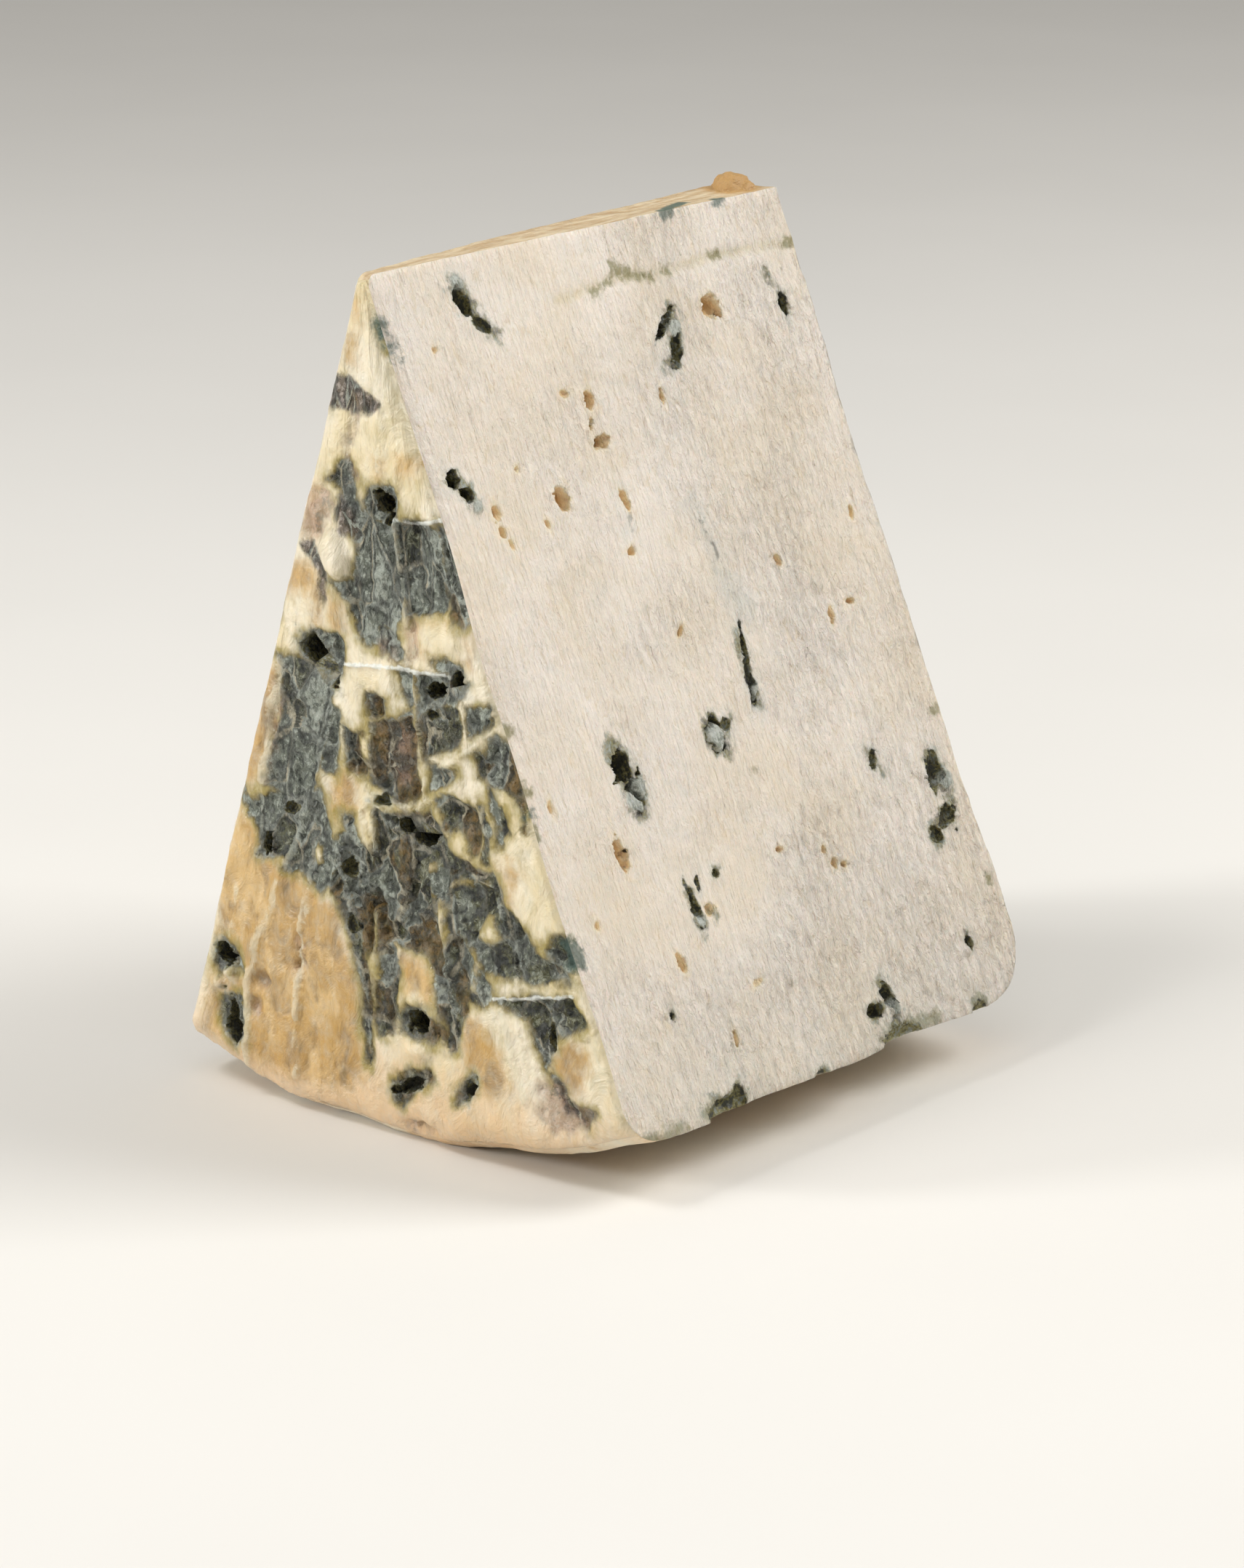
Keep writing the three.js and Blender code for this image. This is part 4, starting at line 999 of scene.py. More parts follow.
def pushed(places, centre, size, pivot, seed):
    """Moves points inside an egg to its surface, along rays from a pivot inside it."""
    ray = places - pivot
    aim = ray / np.maximum(np.linalg.norm(ray, axis=1), 1e-9)[:, None]
    rough = 1 + 0.2 * fractal(aim, 0.5, seed, 3)
    half = np.asarray(size) / 2 * rough[:, None]
    start = (np.asarray(pivot) - centre) / half
    step = ray / half
    a = np.sum(step * step, axis=1)
    b = np.sum(start * step, axis=1)
    c = np.sum(start * start, axis=1) - 1
    reach = (-b + np.sqrt(np.maximum(b * b - a * c, 0))) / np.maximum(a, 1e-12)
    return pivot + ray * np.maximum(reach, 1)[:, None], reach


def add_edge_features(places, fields, edge, wheel):
    """Bites out of the lower edge, the dried crust and marks that run over an edge."""
    along = Vector((math.sin(wheel.right), 0, -math.cos(wheel.right)))
    sine, cosine = math.sin(wheel.right), math.cos(wheel.right)
    outward = np.array((cosine + sine, 0, sine - cosine))
    for i, (depth, slant, size) in enumerate(BITES):
        centre = np.array(along * slant) + (0, depth - wheel.height / 2, wheel.radius - FOOT_DEPTH)
        pivot = centre + outward * size[0] / 2 * BITE_PIVOT_SHARE
        places, reach = pushed(places, centre, size, pivot, 91 + i)
        fields["blue"] = np.maximum(fields["blue"], np.minimum((reach - 1) * 1.2, 0.35))
        edge = np.where(reach > 0.8, HOLE_EDGE * 1.3, edge)
    places, reach = pushed(places, CRUST_CENTRE, CRUST_SIZE, CRUST_PIVOT, 99)
    edge = np.where(reach > 0.8, HOLE_EDGE * 1.3, edge)
    for start, end, radius in MARKS:
        fields["mark"] = np.maximum(fields["mark"], radius - to_segment(places, start, end))
    return places, edge


def shaped(unit, body, facing, wheel):
    """Places, painted distances and wanted edge lengths of points on the wedge."""
    near = distances(unit, wheel)
    places = body.copy()
    fields = {name: np.full(len(unit), FAR) for name in FIELDS}
    edge = np.full(len(unit), np.inf)
    for name, face in faces(wheel).items():
        own = near[name] == 0
        along, up = np.array(face.along), np.array(face.up)
        plane = (body[own] - face.origin) @ np.column_stack((along, up))
        border = np.min([near[other][own] for other in NEIGHBOURS[name]], axis=0)
        skin = SKINS[name](plane, border)
        out = np.cross(along, up)
        places[own] += facing[own] * skin.height[:, None] + skin.shift @ np.stack((along, up, out))
        for field, values in skin.fields.items():
            fields[field][own] = values
        edge[own] = np.minimum(edge[own], skin.edge)
    for name in ("rim", "tip"):
        own = near[name] == 0
        edge[own] = np.minimum(edge[own], EDGES[name])
    knife = np.maximum(np.maximum(near["front"], near["right"]), 0) < 1.2
    edge[knife] = np.minimum(edge[knife], KNIFE_EDGE_LENGTH)
    places += facing * (0.13 * fractal(body, 5.0, 11, 2) + 0.07 * fractal(body, 1.6, 12, 2))[:, None]
    places, edge = add_edge_features(places, fields, edge, wheel)
    places[:, 2] = np.maximum(places[:, 2], 0)
    return places, fields, edge


# The mesh

def first_cube():
    """A unit cube of triangles. Its corners' places say how far across, how deep and how high they lie."""
    mesh = bmesh.new()
    bmesh.ops.create_cube(mesh, size=1)
    bmesh.ops.translate(mesh, verts=mesh.verts, vec=(0.5, 0.5, 0.5))
    for axis, cuts in enumerate(FIRST_CUTS):
        along = [e for e in mesh.edges if abs(e.verts[0].co[axis] - e.verts[1].co[axis]) > 0.5]
        bmesh.ops.subdivide_edges(mesh, edges=along, cuts=cuts, use_grid_fill=True)
    bmesh.ops.triangulate(mesh, faces=mesh.faces, quad_method="FIXED")
    return mesh


def column(items, name, kind, width):
    """One property of all a mesh's items, as an array with a row for each."""
    values = np.zeros(len(items) * width, dtype=kind)
    items.foreach_get(name, values)
    return values.reshape(-1, width)


def read_cube(mesh, data):
    """The cube's points, with how far down they lie."""
    mesh.to_mesh(data)
    unit = column(data.vertices, "co", np.float32, 3).astype(float)
    unit[:, 2] = 1 - unit[:, 2]
    return unit


def refine(mesh, data, wheel):
    """Halves the longest sides of the triangles until they are as short as the face wants them."""
    places = np.zeros((0, 3))
    wanted = np.zeros(0)
    for _ in range(PASSES):
        added = read_cube(mesh, data)[len(places):]
        more, _, edge = shaped(added, body_places(added, wheel), outward(added, wheel), wheel)
        places = np.vstack((places, more))
        wanted = np.concatenate((wanted, edge))
        ends = column(data.edges, "vertices", np.int32, 2)
        borders = column(data.loops, "edge_index", np.int32, 1).reshape(-1, 3)
        length = np.linalg.norm(places[ends[:, 0]] - places[ends[:, 1]], axis=1)
        length *= 1 + 1e-6 * scrambled(ends.astype(float), 1.0)[:, 0]
        longest = borders[np.arange(len(borders)), np.argmax(length[borders], axis=1)]
        chosen = length > np.minimum(wanted[ends[:, 0]], wanted[ends[:, 1]])
        if not chosen.any():
            return
        for _ in range(12):
            chosen[longest[chosen[borders].any(axis=1)]] = True
        shared = np.bincount(longest, minlength=len(length)) == 2
        mesh.edges.ensure_lookup_table()
        cut = [mesh.edges[i] for i in np.flatnonzero(chosen & shared)]
        bmesh.ops.subdivide_edges(mesh, edges=cut, cuts=1, use_single_edge=True)


# Which of the wedge's materials each face has
MATERIAL_SLOTS = {"right": 0, "left": 1, "front": 2, "back": 2, "rim": 3, "tip": 4}


def make_wedge(wheel, materials):
    """The wedge as one closed mesh, with the distances that its finish is painted by."""
    data = bpy.data.meshes.new("blue_cheese")
    mesh = first_cube()
    refine(mesh, data, wheel)
    unit = read_cube(mesh, data)
    sides = column(data.loops, "vertex_index", np.int32, 1).reshape(-1, 3)
    mesh.free()
    body = body_places(unit, wheel)
    places, fields, _ = shaped(unit, body, normals(body, sides), wheel)
    near = distances(unit, wheel)
    slots = np.zeros(len(sides), dtype=int)
    for name, slot in MATERIAL_SLOTS.items():
        own = near[name] == 0
        slots[own[sides].all(axis=1)] = slot
    data.vertices.foreach_set("co", (places * MM).ravel())
    data.polygons.foreach_set("material_index", slots)
    data.polygons.foreach_set("use_smooth", np.ones(len(sides), dtype=bool))
    for name, values in fields.items():
        layer = data.attributes.new(name, "FLOAT", "POINT")
        layer.data.foreach_set("value", values.astype(np.float32))
    for material in materials:
        data.materials.append(material)
    return bpy.data.objects.new("blue_cheese", data)


# Materials

def linear(code):
    """A colour written as #RRGGBB, as linear red, green, blue and 1."""
    parts = [int(code[i:i + 2], 16) / 255 for i in (1, 3, 5)]
    return (*(p / 12.92 if p <= 0.04045 else ((p + 0.055) / 1.055) ** 2.4 for p in parts), 1)


def add_node(tree, kind, settings=None, links=None):
    """Adds one node with its settings, which are its properties or its inputs, and its links."""
    node = tree.nodes.new(kind)
    for name, value in (settings or {}).items():
        if isinstance(name, int) or name in node.inputs:
            node.inputs[name].default_value = value
        else:
            setattr(node, name, value)
    for name, source in (links or {}).items():
        tree.links.new(source, node.inputs[name])
    return node


def field(tree, name):
    """How far inside a growth, a hole or a stain each point lies, in millimetres, as the mesh has it."""
    return add_node(tree, "ShaderNodeAttribute", {"attribute_name": name}).outputs["Fac"]


# Where the creases of the rind meet above the foot, and how far below that they lie as wide as measured
FAN_HEIGHT = AXIS_HEIGHT * 1.15
FAN_SPREAD = AXIS_HEIGHT * 0.6


def fanned(tree):
    """The object's coordinates with X stretched so that lines that meet at the tip run upright."""
    place = add_node(tree, "ShaderNodeTexCoord").outputs["Object"]
    axes = add_node(tree, "ShaderNodeSeparateXYZ", links={0: place}).outputs
    below = add_node(tree, "ShaderNodeMath", {"operation": "SUBTRACT", 0: FAN_HEIGHT * MM}, {1: axes["Z"]})
    aside = add_node(tree, "ShaderNodeMath", {"operation": "DIVIDE"}, {0: axes["X"], 1: below.outputs[0]})
    aside = add_node(tree, "ShaderNodeMath", {"operation": "MULTIPLY", 1: FAN_SPREAD * MM},
                     {0: aside.outputs[0]})
    links = {"X": aside.outputs[0], "Y": axes["Y"], "Z": axes["Z"]}
    return add_node(tree, "ShaderNodeCombineXYZ", links=links).outputs[0]


def scaled(tree, size, lean=0.0, place=None):
    """Coordinates counted in lumps of the given size in millimetres, leaned about Y."""
    place = place or add_node(tree, "ShaderNodeTexCoord").outputs["Object"]
    return add_node(tree, "ShaderNodeMapping", {
        "vector_type": "TEXTURE",
        "Rotation": (0, lean, 0),
        "Scale": tuple(s * MM for s in size),
    }, {"Vector": place}).outputs[0]


def grain(tree, size, detail=3, lean=0.0, rough=0.55, wrinkled=0.0, place=None):
    """Noise around 0 with lumps of the given size in millimetres, leaned about Y."""
    spot = scaled(tree, size, lean, place)
    cloud = add_node(tree, "ShaderNodeTexNoise", {
        "Scale": 1, "Detail": detail, "Roughness": rough, "Distortion": wrinkled,
    }, {"Vector": spot})
    centred = add_node(tree, "ShaderNodeMath", {"operation": "SUBTRACT", 1: 0.5}, {0: cloud.outputs["Fac"]})
    return centred.outputs[0]


def crumpled(tree, size, place, wander=0.22):
    """The gap from the folds of a crumpled sheet, in facets, and a random level for each facet."""
    spot = scaled(tree, size, 0, place)
    cloud = add_node(tree, "ShaderNodeTexNoise", {"Scale": 1.3, "Detail": 3}, {"Vector": spot})
    moved = add_node(tree, "ShaderNodeVectorMath", {"operation": "MULTIPLY_ADD", 1: (wander,) * 3},
                     {0: cloud.outputs["Color"], 2: spot}).outputs[0]
    folds = add_node(tree, "ShaderNodeTexVoronoi", {"feature": "DISTANCE_TO_EDGE", "Scale": 1},
                     {"Vector": moved}).outputs["Distance"]
    cells = add_node(tree, "ShaderNodeTexVoronoi", {"Scale": 1}, {"Vector": moved}).outputs["Color"]
    return folds, add_node(tree, "ShaderNodeSeparateColor", links={0: cells}).outputs[0]


def mask(tree, distance, start, end, wobble=None, ragged=0.0):
    """0 where a distance is under start, 1 where it is over end, with a border made ragged by wobble."""
    if wobble:
        distance = add_node(tree, "ShaderNodeMath", {"operation": "MULTIPLY_ADD", 1: ragged},
                            {0: wobble, 2: distance}).outputs[0]
    return add_node(tree, "ShaderNodeMapRange", {
        "interpolation_type": "SMOOTHSTEP", "From Min": start, "From Max": end,
    }, {"Value": distance}).outputs[0]


def paint(tree, share, below, above, strength=1.0):
    """One colour over another. A colour is a socket or a plain value."""
    if strength != 1.0:
        share = add_node(tree, "ShaderNodeMath", {"operation": "MULTIPLY", 1: strength},
                         {0: share}).outputs[0]
    settings = {"data_type": "RGBA"}
    links = {0: share}
    for slot, colour in ((6, below), (7, above)):
        if isinstance(colour, bpy.types.NodeSocket):
            links[slot] = colour
        else:
            settings[slot] = tuple(colour)
    return add_node(tree, "ShaderNodeMix", settings, links).outputs[2]


def weigh(tree, share, below, above):
    """One number over another."""
    settings = {}
    links = {0: share}
    for slot, value in ((2, below), (3, above)):
        if isinstance(value, bpy.types.NodeSocket):
            links[slot] = value
        else:
            settings[slot] = value
    return add_node(tree, "ShaderNodeMix", settings, links).outputs[0]


def bumped(tree, layers):
    """A normal from layers of height, each a socket with its height in millimetres."""
    normal = None
    for height, tall in layers:
        node = add_node(tree, "ShaderNodeBump", {"Distance": tall * MM}, {"Height": height})
        if normal:
            tree.links.new(normal, node.inputs["Normal"])
        normal = node.outputs[0]
    return normal


def food(name, settings, build):
    """A material with a Principled shader. build returns its base colour, roughness and normal sockets."""
    material = bpy.data.materials.new(name)
    material.use_nodes = True
    tree = material.node_tree
    shader = tree.nodes["Principled BSDF"]
    for socket, value in settings.items():
        shader.inputs[socket].default_value = value
    colour, roughness, normal = build(tree)
    tree.links.new(colour, shader.inputs["Base Color"])
    tree.links.new(roughness, shader.inputs["Roughness"])
    tree.links.new(normal, shader.inputs["Normal"])
    tree.links.new(normal, shader.inputs["Coat Normal"])
    return material


MILK_FAT = {
    "IOR": 1.45,
    "Subsurface Weight": 0.25,
    "Subsurface Radius": (1.0, 0.62, 0.36),
    "Subsurface Scale": 1.6 * MM,
    "Specular IOR Level": 0.5,
    "Coat Weight": 0.12,
    "Coat Roughness": 0.22,
    "Coat IOR": 1.4,
}


def hole_colours(tree, below, colours, wobble):
    """Tan pits that darken with painted shade towards their bottoms, and holes with dark olive mouths whose
    insides are mottled with grey and olive mould and turn near black with painted shade deeper in.
    """
    clot = grain(tree, (1.3, 1.3, 1.6), 5, 0, 0.62)
    speck = grain(tree, (0.4, 0.4, 0.4), 3)
    tan = field(tree, "tan")
    # Painted shade: the tan pits darken towards their bottoms, where shade falls
    shade = paint(tree, mask(tree, tan, 0.0, 0.9, wobble, 0.8), colours.tan, colours.tan_deep)
    below = paint(tree, mask(tree, tan, -0.9, 0.2, wobble, 1.6), below, colours.tan, 0.35)
    below = paint(tree, mask(tree, tan, -0.05, 0.1, wobble, 0.3), below, shade)
    blue = field(tree, "blue")
    below = paint(tree, mask(tree, blue, -1.5, 0.1, clot, 2.6), below, colours.mould_mist, 0.4)
    mottle = paint(tree, mask(tree, clot, -0.08, 0.06, speck, 0.5), colours.mould_dark, colours.stain)
    mottle = paint(tree, mask(tree, clot, 0.03, 0.14, speck, 0.5), mottle, colours.mould_blue)
    mottle = paint(tree, mask(tree, clot, 0.14, 0.26, speck, 0.3), mottle, colours.mould_mist)
    below = paint(tree, mask(tree, field(tree, "smear"), -0.3, 0.9, clot, 4.5), below, mottle, 0.85)
    below = paint(tree, mask(tree, blue, -0.4, 0.1, clot, 2.0), below, mottle, 0.8)
    # Painted shade: deeper inside a mouldy hole the mottled mould turns near black, standing in for the
    # shade in the hole
    inner = paint(tree, mask(tree, blue, 0.4, 1.5, clot, 3.0), mottle, colours.hollow, 0.75)
    below = paint(tree, mask(tree, blue, -0.08, 0.12, wobble, 0.8), below, inner)
    tuft = paint(tree, mask(tree, clot, -0.15, 0.1, speck, 0.6), colours.mould_blue, colours.mould_mist)
    return paint(tree, mask(tree, field(tree, "fluff"), -0.1, 0.5, clot, 1.6), below, tuft, 0.9)


def cut_paste(name, lean, colours):
    """Cut paste: drained, salted curd of whole milk, sliced with a wire that drags and tears it.

    The fat in it lets light in, so it looks ivory and soft, and the torn scales are moist enough to
    glint. Its finest grain is under 0.1 mm, and is drawn at 0.3 mm so that it still shows.
    """
    def build(tree):
        wobble = grain(tree, (0.9, 0.9, 0.9), 4)
        broad = grain(tree, (16, 16, 16), 3)
        torn = grain(tree, (1.3, 1.1, 2.6), 5, lean, 0.6, 1.2)
        drag = grain(tree, (0.6, 0.42, 5.0), 4, lean, 0.6, 0.5)
        grit = grain(tree, (0.34, 0.3, 0.5), 3, lean, 0.6, 0.8)
        colour = paint(tree, mask(tree, broad, -0.16, 0.16), colours.ivory, colours.ivory_warm)
        # Painted shade: the low parts of the torn scales and of the grit are darkened, standing in for the
        # shade that falls in them
        colour = paint(tree, mask(tree, torn, -0.03, -0.2), colour, colours.ivory_shade, 0.5)
        colour = paint(tree, mask(tree, grit, -0.08, -0.25), colour, colours.ivory_shade, 0.35)
        haze = mask(tree, field(tree, "haze"), -0.4, 2.6, wobble, 3.0)
        colour = paint(tree, haze, colour, colours.mould_mist, 0.4)
        crease = mask(tree, field(tree, "crease"), -0.5, 0.5, wobble, 1.2)
        colour = paint(tree, crease, colour, colours.crease, 0.4)
        stain = mask(tree, field(tree, "stain"), -0.5, 0.6, wobble, 2.4)
        colour = paint(tree, stain, colour, colours.stain, 0.8)
        vein = mask(tree, field(tree, "vein"), -0.15, 0.25, wobble, 0.9)
        colour = paint(tree, vein, colour, colours.mould_dark, 0.5)
        colour = hole_colours(tree, colour, colours, wobble)
        mark = mask(tree, field(tree, "mark"), -0.5, 0.5, wobble, 2.6)
        colour = paint(tree, mark, colour, colours.mark, 0.8)
        dry = mask(tree, field(tree, "blue"), -0.2, 0.2)
        roughness = weigh(tree, dry, weigh(tree, mask(tree, torn, -0.15, 0.15), 0.48, 0.32), 0.7)
        coarse = field(tree, "coarse")
        tall = add_node(tree, "ShaderNodeMath", {"operation": "MULTIPLY"}, {0: torn, 1: coarse}).outputs[0]
        normal = bumped(tree, [(drag, 0.35), (tall, 1.2), (grit, 0.14)])
        return colour, roughness, normal
    return food(name, {**MILK_FAT, "Coat Weight": 0.4, "Coat Roughness": 0.18}, build)


def natural_rind(colours):
    """Natural rind: the skin that a salted wheel grows as it ripens, here in creased wrapping.

    It looks waxy, cream to ochre and wet where it is bare, and dry and dusty where olive and slate-grey
    mould covers it. The spores' dust is under 0.1 mm, and is drawn at 0.4 mm so that it still shows.
    """
    def build(tree):
        wobble = grain(tree, (1.3, 1.3, 1.7), 6, 0, 0.62)
        fine = grain(tree, (0.42, 0.42, 0.55), 4, 0, 0.65)
        crust = grain(tree, (1.1, 1.1, 1.7), 7, 0.1, 0.72, 0.6)
        broad = grain(tree, (7, 7, 12), 3)
        patch = grain(tree, (2.8, 2.8, 4.6), 5, 0, 0.6)
        cloudy = grain(tree, (3.6, 3.6, 6.0), 6, 0.3, 0.66, 0.8)
        fan = fanned(tree)
        fold = grain(tree, (1.7, 1.7, 15.0), 3, 0, 0.5, place=fan)
        creases, facet = crumpled(tree, (3.2, 3.2, 7.0), fan)
        nicks, _ = crumpled(tree, (1.3, 1.3, 2.8), fan)
        colour = paint(tree, mask(tree, broad, -0.15, 0.2), colours.cream, colours.cream_warm)
        colour = paint(tree, mask(tree, cloudy, 0.0, 0.16), colour, colours.halo, 0.4)
        place = add_node(tree, "ShaderNodeTexCoord").outputs["Object"]
        up = add_node(tree, "ShaderNodeSeparateXYZ", links={0: place}).outputs["Z"]
        up = add_node(tree, "ShaderNodeMath", {"operation": "DIVIDE", 1: MM}, {0: up}).outputs[0]
        # Painted bounce light: the lowest part of the rind is warmed to peach, standing in for light thrown
        # up from the floor
        colour = paint(tree, mask(tree, up, 16, 2, patch, 14.0), colour, colours.peach, 0.85)
        ochre = paint(tree, mask(tree, cloudy, -0.2, 0.1), colours.ochre_deep, colours.ochre)
        ochre = paint(tree, mask(tree, broad, -0.02, 0.16, patch, 0.7), ochre, colours.ochre_pale, 0.7)
        ochre = paint(tree, mask(tree, cloudy, -0.1, -0.28, wobble, 0.3), ochre, colours.halo_deep, 0.5)
        ochre = paint(tree, mask(tree, fold, 0.1, 0.24), ochre, colours.ochre_pale, 0.3)
        colour = paint(tree, mask(tree, field(tree, OCHRE), -1.4, 1.6, wobble, 3.4), colour, ochre, 0.9)
        fields = {kind: field(tree, kind) for kind in (BROWN, LILAC, MOSS, SLATE)}
        mould = add_node(tree, "ShaderNodeMath", {"operation": "MAXIMUM"},
                         {0: fields[MOSS], 1: fields[SLATE]}).outputs[0]
        growth = add_node(tree, "ShaderNodeMath", {"operation": "MAXIMUM"},
                          {0: mould, 1: fields[LILAC]}).outputs[0]
        colour = paint(tree, mask(tree, mould, -1.7, -0.1, patch, 4.0), colour, colours.halo, 0.9)
        colour = paint(tree, mask(tree, mould, -0.8, 0.1, wobble, 2.2), colour, colours.halo_deep, 0.85)
        moss = paint(tree, mask(tree, crust, -0.07, 0.05), colours.moss_dark, colours.moss)
        moss = paint(tree, mask(tree, crust, 0.04, 0.15, fine, 0.7), moss, colours.moss_pale, 0.9)
        slate = paint(tree, mask(tree, crust, -0.14, -0.01), colours.slate_dark, colours.slate)
        slate = paint(tree, mask(tree, crust, 0.0, 0.14, fine, 0.6), slate, colours.slate_pale, 0.9)
        pale = paint(tree, mask(tree, crust, -0.1, 0.02, fine, 0.4), colours.slate, colours.slate_pale)
        amber = paint(tree, mask(tree, crust, -0.08, 0.1), colours.halo_deep, colours.ochre_deep)
        plain = moss
        moss = paint(tree, mask(tree, facet, 0.66, 0.72, patch, 0.5), moss, slate, 0.8)
        moss = paint(tree, mask(tree, facet, 0.9, 0.94, patch, 0.5), moss, pale, 0.8)
        moss = paint(tree, mask(tree, facet, 0.26, 0.2, patch, 0.5), moss, amber, 0.85)
        slate = paint(tree, mask(tree, facet, 0.74, 0.8, patch, 0.5), slate, pale, 0.7)
        slate = paint(tree, mask(tree, facet, 0.22, 0.16, patch, 0.5), slate, plain, 0.8)
        colour = paint(tree, mask(tree, fields[MOSS], -0.25, 0.25, wobble, 2.2), colour, moss)
        colour = paint(tree, mask(tree, fields[SLATE], -0.2, 0.2, wobble, 2.0), colour, slate)
        brown = paint(tree, mask(tree, patch, -0.1, 0.12), colours.brown, colours.brown_pink)
        brown = paint(tree, mask(tree, crust, -0.02, -0.12, fine, 0.4), brown, colours.moss_dark, 0.7)
        brown = paint(tree, mask(tree, crust, 0.07, 0.2, fine, 0.5), brown, colours.slate_pale, 0.6)
        colour = paint(tree, mask(tree, fields[BROWN], -0.8, 1.4, wobble, 3.6), colour, brown, 0.75)
        lilac = paint(tree, mask(tree, crust, -0.16, -0.04), colours.moss, colours.lilac_dark)
        lilac = paint(tree, mask(tree, crust, -0.02, 0.12, fine, 0.5), lilac, colours.lilac)
        lilac = paint(tree, mask(tree, patch, 0.06, 0.16), lilac, colours.ochre_deep, 0.6)
        colour = paint(tree, mask(tree, fields[LILAC], -0.3, 0.5, wobble, 2.2), colour, lilac, 0.9)
        grown = mask(tree, growth, -0.5, 0.6)
        # The fold crests are paled: partly the mould's real pale dust along them, partly a painted
        # highlight on their raised tops
        crest_dust_and_highlight = mask(tree, creases, 0.07, 0.02, crust, 0.3)
        broken = weigh(tree, mask(tree, patch, -0.1, 0.1), 0.1, grown)
        crest_dust_and_highlight = add_node(tree, "ShaderNodeMath", {"operation": "MULTIPLY"},
                         {0: crest_dust_and_highlight, 1: broken}).outputs[0]
        # Painted shade: the gullies beside the fold crests of grown mould are darkened towards dark olive
        gully_painted_shade = mask(tree, creases, 0.2, 0.08, crust, 0.4)
        gully_painted_shade = add_node(tree, "ShaderNodeMath", {"operation": "MULTIPLY"},
                         {0: gully_painted_shade, 1: grown}).outputs[0]
        colour = paint(tree, gully_painted_shade, colour, colours.moss_dark, 0.65)
        crease = paint(tree, mask(tree, facet, 0.45, 0.55), colours.ridge, colours.slate_pale)
        colour = paint(tree, crest_dust_and_highlight, colour, crease, 0.85)
        worn = mask(tree, field(tree, "pale"), -0.05, 0.45, crust, 1.6)
        colour = paint(tree, worn, colour, paint(tree, grown, colours.ridge, colours.slate_pale), 0.55)
        thread = mask(tree, field(tree, "thread"), -0.08, 0.16, wobble, 0.9)
        colour = paint(tree, thread, colour, colours.thread, 0.85)
        colour = hole_colours(tree, colour, colours, wobble)
        mark = mask(tree, field(tree, "mark"), -0.5, 0.5, wobble, 2.6)
        colour = paint(tree, mark, colour, colours.mark, 0.9)
        dry = weigh(tree, mask(tree, crust, -0.1, 0.15), 0.42, 0.8)
        roughness = weigh(tree, mask(tree, growth, -0.1, 0.3), 0.33, dry)
        height = weigh(tree, grown, 0.5, mask(tree, creases, 0.2, 0.0))
        nick = weigh(tree, grown, 0.5, mask(tree, nicks, 0.2, 0.0))
        rough = weigh(tree, grown, 0.12, 1.0)
        crusty, dusty = (
            add_node(tree, "ShaderNodeMath", {"operation": "MULTIPLY"}, {0: cloud, 1: rough}).outputs[0]
            for cloud in (crust, fine)
        )
        normal = bumped(tree, [
            (broad, 0.8), (cloudy, 0.6), (fold, 0.45), (height, 0.4), (nick, 0.25),
            (crusty, 1.2), (dusty, 0.3)])
        return colour, roughness, normal
    wax = {**MILK_FAT, "Subsurface Weight": 0.12, "Coat Weight": 0.6, "Coat Roughness": 0.14}
    return food("natural_rind", wax, build)


def washed_rim(colours):
    """Rim rind: the skin round the wheel, rubbed with brine as it ripened.

    That gives it a firm peach-cream look with ochre stains and fine wrinkles.
    """
    def build(tree):
        wobble = grain(tree, (1.0, 1.0, 1.0), 4)
        broad = grain(tree, (9, 14, 9), 4)
        patch = grain(tree, (3, 4, 3), 4)
        wrinkle = grain(tree, (1.6, 0.7, 1.6), 4)
        colour = paint(tree, mask(tree, broad, -0.15, 0.18), colours.cream, colours.peach)
        colour = paint(tree, mask(tree, patch, 0.05, 0.25, wobble, 0.4), colour, colours.ochre, 0.65)
        colour = paint(tree, mask(tree, patch, -0.14, -0.3, wobble, 0.3), colour, colours.brown, 0.6)
        colour = hole_colours(tree, colour, colours, wobble)
        roughness = weigh(tree, mask(tree, patch, -0.2, 0.2), 0.55, 0.4)
        return colour, roughness, bumped(tree, [(patch, 0.5), (wrinkle, 0.25)])
    return food("rim_rind", {**MILK_FAT, "Subsurface Weight": 0.15}, build)


def dried_tip(colours):
    """Dried paste: curd that lost its water in air along the tip.

    That makes it tan, streaked and duller, and browner where it stands out as a crust.
    """
    def build(tree):
        wobble = grain(tree, (0.9, 0.9, 0.9), 4)
        streak = grain(tree, (0.8, 5.0, 0.8), 4)
        pebble = grain(tree, (0.9, 0.9, 0.9), 4, 0, 0.6)
        place = add_node(tree, "ShaderNodeTexCoord").outputs["Object"]
        centre = tuple(c * MM for c in CRUST_CENTRE)
        spot = add_node(tree, "ShaderNodeVectorMath", {"operation": "DISTANCE", 1: centre},
                        {0: place}).outputs["Value"]
        near = add_node(tree, "ShaderNodeMath", {"operation": "DIVIDE", 1: MM}, {0: spot}).outputs[0]
        colour = paint(tree, mask(tree, streak, -0.18, 0.18), colours.dried, colours.dried_pale)
        colour = paint(tree, mask(tree, near, 5.5, 2.6, wobble, 2.0), colour, colours.crust)
        mark = mask(tree, field(tree, "mark"), -0.4, 0.4, wobble, 1.4)
        colour = paint(tree, mark, colour, colours.mark, 0.9)
        roughness = weigh(tree, mask(tree, pebble, -0.2, 0.2), 0.6, 0.42)
        return colour, roughness, bumped(tree, [(streak, 0.25), (pebble, 0.4)])
    return food("dried_edge", {**MILK_FAT, "Subsurface Weight": 0.15}, build)


